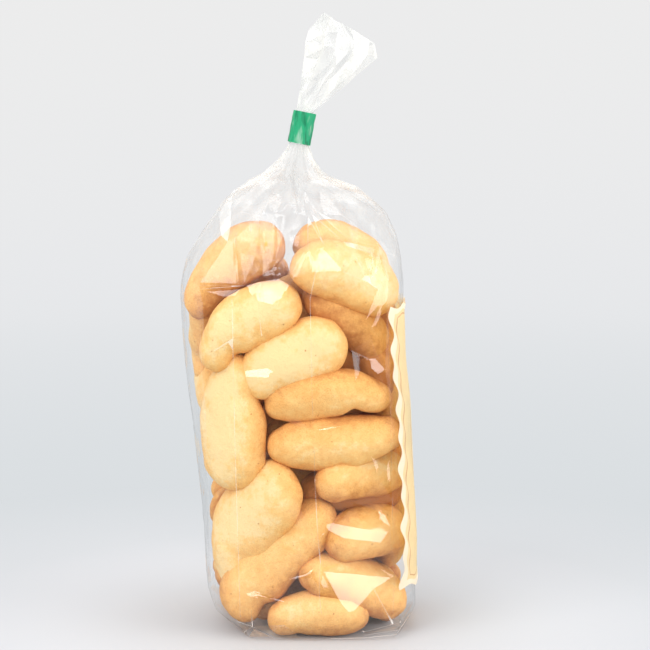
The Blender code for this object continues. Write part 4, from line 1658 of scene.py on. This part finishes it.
class BISCUITBAG_OT_label(bpy.types.Operator):
    """Adds the paper label on the bag's wide side"""

    bl_idname = "biscuit_bag.label"
    bl_label = "Label"

    def execute(self, context):
        cage = label_cage()
        bmesh.ops.recalc_face_normals(cage, faces=cage.faces)
        printed = label_material(context.scene.biscuit_bag_trim)
        paper = finish_mesh(cage, "label_sheet", printed, sharp=math.radians(50))
        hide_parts("label")
        return {"FINISHED"}


# Stage


# The floor is round, and a bend takes it up into a wall. Rings between the middle and the bend
# keep its faces even.
FLOOR_RINGS = (0.2, 0.6)
FLOOR_RADIUS = 1.5
BEND_RADIUS = 0.6
BEND_STEPS = 12
WALL_TOP = 2.2
BOWL_SIDES = 96


def bowl():
    """A round floor with its rim curved up into a wall, so that every view has the same backdrop."""
    profile = [(radius, 0.0) for radius in (*FLOOR_RINGS, FLOOR_RADIUS)]
    for step in range(1, BEND_STEPS + 1):
        around = 0.5 * math.pi * step / BEND_STEPS
        out = FLOOR_RADIUS + BEND_RADIUS * math.sin(around)
        profile.append((out, BEND_RADIUS * (1.0 - math.cos(around))))
    profile.append((FLOOR_RADIUS + BEND_RADIUS, WALL_TOP))
    cage = bmesh.new()
    rings = []
    for radius, height in profile:
        ring = []
        for side in range(BOWL_SIDES):
            around = 2.0 * math.pi * side / BOWL_SIDES
            place = (radius * math.cos(around), radius * math.sin(around), height)
            ring.append(cage.verts.new(place))
        rings.append(ring)
    centre = cage.verts.new((0.0, 0.0, 0.0))
    for side in range(BOWL_SIDES):
        after = (side + 1) % BOWL_SIDES
        cage.faces.new((centre, rings[0][side], rings[0][after]))
        for lower, upper in zip(rings, rings[1:]):
            cage.faces.new((lower[side], upper[side], upper[after], lower[after]))
    return cage


# How light the backdrop glows at a distance from the bag, as painted light, darker from about
# 0.19 to 0.47 m as painted shade.
BACKDROP_REACH = 2.3
BACKDROP_PAINTED_LIGHT = (
    (0.13, (0.800, 0.808, 0.840)),
    (0.19, (0.700, 0.728, 0.750)),
    (0.47, (0.712, 0.742, 0.764)),
    (1.71, (0.803, 0.812, 0.828)),
    (2.15, (0.842, 0.842, 0.842)),
)
# Distances from the bag between which the floor turns from one that takes shadows to a glow.
SHADOW_ENDS = (0.08, 0.34)
# How bright the floor and wall in front of the bag look in the film, and the places in y between
# which they reach their full brightness.
FRONT_MIRRORED = 0.12
BEHIND_BAG = (-0.45, 0.35)
# How much more light the backdrop sends on to matt surfaces than it shows.
MORE_BOUNCED = 0.35

# What the camera and the lights are aimed at, the camera in the bag's own frame.
CAMERA_AIM = Vector((0.0125, 0.0, 0.1435))
LIGHTS_AIM = Vector((0.0, 0.0, 0.13))
SENSOR = 36.0
# The lights: name, place, width and height, and the setting that holds the power.
LIGHTS = (
    ("softbox", SOFTBOX - BOX_MIDDLE, 0.30, 0.24, "front"),
    ("window", (-0.58, -0.72, 0.86), 0.75, 0.75, "window"),
    ("top", (0.00, 0.00, 1.05), 0.60, 0.60, "top"),
    ("fill", (1.15, -0.42, 0.42), 0.80, 0.90, "fill"),
)
ROOM_COLOUR = (0.95, 0.97, 1.0, 1.0)
# Layers of film that light may pass through.
FILM_LAYERS = 48


def backdrop_material(settings):
    """A floor that takes shadows near the bag and glows further out, dim in front of the bag."""
    made = new_material("backdrop")
    tree = Tree(made.node_tree)
    place = tree.place()
    away = tree.add("ShaderNodeVectorMath", ((0, place),), operation="LENGTH").outputs["Value"]
    stops = [(distance / BACKDROP_REACH, colour) for distance, colour in BACKDROP_PAINTED_LIGHT]
    lit = tree.ramp(tree.math("DIVIDE", away, BACKDROP_REACH), *stops)
    behind = tree.scaled(tree.axes(place)["Y"], *BEHIND_BAG, FRONT_MIRRORED, 1.0)
    rays = tree.add("ShaderNodeLightPath").outputs
    dimmed = tree.math("MULTIPLY", rays["Is Glossy Ray"], tree.math("SUBTRACT", 1.0, behind))
    bright = tree.math("SUBTRACT", 1.0, dimmed)
    strength = tree.math("MULTIPLY_ADD", rays["Is Diffuse Ray"], MORE_BOUNCED, bright)
    paper = tree.principled(Base_Color=tuple(settings.paper), Roughness=0.9, Specular_IOR_Level=0.1)
    glow = tree.named("ShaderNodeEmission", {"Color": lit, "Strength": strength})
    tree.output(tree.blend(tree.scaled(away, *SHADOW_ENDS), paper, glow.outputs[0]))
    return made


def add_light(name, place, width, height, power):
    light = bpy.data.lights.new(name, "AREA")
    light.shape = "RECTANGLE"
    light.size = width
    light.size_y = height
    light.energy = power
    made = bpy.data.objects.new(name, light)
    made.location = place
    made.rotation_euler = (LIGHTS_AIM - Vector(place)).to_track_quat("-Z", "Y").to_euler()
    bpy.context.scene.collection.objects.link(made)


def add_camera(scene, settings):
    """A level camera in front of the bag, looking down a little."""
    back = Vector((0.0, -math.cos(settings.elevation), math.sin(settings.elevation)))
    camera = bpy.data.objects.new("camera", bpy.data.cameras.new("camera"))
    camera.data.sensor_width = SENSOR
    camera.data.lens = settings.lens
    camera.data.clip_start = 0.01
    camera.location = CAMERA_AIM - BOX_MIDDLE + back * settings.distance
    camera.rotation_euler = (-back).to_track_quat("-Z", "Y").to_euler()
    scene.collection.objects.link(camera)
    scene.camera = camera


def add_backdrop(scene, settings):
    """The bowl that the bag stands in."""
    mesh = bpy.data.meshes.new("backdrop")
    cage = bowl()
    bmesh.ops.recalc_face_normals(cage, faces=cage.faces)
    cage.to_mesh(mesh)
    cage.free()
    mesh.shade_smooth()
    mesh.materials.append(backdrop_material(settings))
    backdrop = bpy.data.objects.new("backdrop", mesh)
    scene.collection.objects.link(backdrop)
    backdrop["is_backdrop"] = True


def add_room(scene, settings):
    """The light from all round."""
    world = bpy.data.worlds.new("room")
    world.use_nodes = True
    background = world.node_tree.nodes["Background"]
    background.inputs["Color"].default_value = ROOM_COLOUR
    background.inputs["Strength"].default_value = settings.room
    scene.world = world


class BISCUITBAG_OT_stage(bpy.types.Operator):
    """Adds the camera, the lights and the pale backdrop"""

    bl_idname = "biscuit_bag.stage"
    bl_label = "Stage"

    def execute(self, context):
        scene = context.scene
        settings = scene.biscuit_bag_stage
        add_camera(scene, settings)
        add_backdrop(scene, settings)
        for name, place, width, height, power in LIGHTS:
            add_light(name, place, width, height, getattr(settings, power))
        add_room(scene, settings)
        scene.view_settings.view_transform = "Standard"
        scene.cycles.transparent_max_bounces = FILM_LAYERS
        return {"FINISHED"}


class BISCUITBAG_PT_panel(bpy.types.Panel):
    """Lists the steps that dress the bag, with their settings"""

    bl_idname = "BISCUITBAG_PT_panel"
    bl_label = "Biscuit Bag"
    bl_space_type = "VIEW_3D"
    bl_region_type = "UI"
    bl_category = "Biscuit Bag"

    def draw(self, context):
        layout = self.layout
        for operator, owner in STEPS:
            box = layout.box()
            box.operator(operator.bl_idname)
            settings = getattr(context.scene, owner)
            for name in settings.__annotations__:
                box.prop(settings, name)


SETTINGS = (
    ("biscuit_bag_stage", StageSettings),
    ("biscuit_bag_biscuits", BiscuitSettings),
    ("biscuit_bag_film", FilmSettings),
    ("biscuit_bag_trim", TrimSettings),
)
STEPS = (
    (BISCUITBAG_OT_stage, "biscuit_bag_stage"),
    (BISCUITBAG_OT_biscuits, "biscuit_bag_biscuits"),
    (BISCUITBAG_OT_film, "biscuit_bag_film"),
    (BISCUITBAG_OT_tuft, "biscuit_bag_film"),
    (BISCUITBAG_OT_tie, "biscuit_bag_trim"),
    (BISCUITBAG_OT_label, "biscuit_bag_trim"),
)
CLASSES = (
    *(kind for _, kind in SETTINGS),
    *(operator for operator, _ in STEPS),
    BISCUITBAG_PT_panel,
)


def register():
    for kind in CLASSES:
        bpy.utils.register_class(kind)
    for owner, kind in SETTINGS:
        setattr(bpy.types.Scene, owner, PointerProperty(type=kind))


def unregister():
    for owner, _ in SETTINGS:
        delattr(bpy.types.Scene, owner)
    for kind in reversed(CLASSES):
        bpy.utils.unregister_class(kind)


def corners(box):
    return [[round(value, 5) for value in corner] for corner in box]


def main():
    register()
    bpy.ops.biscuit_bag.stage()
    bpy.ops.biscuit_bag.biscuits()
    bpy.ops.biscuit_bag.film()
    bpy.ops.biscuit_bag.tuft()
    bpy.ops.biscuit_bag.tie()
    bpy.ops.biscuit_bag.label()
    {"cad": corners(CAD_BOX), "visual": corners(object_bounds())}


if __name__ == "__main__":
    main()
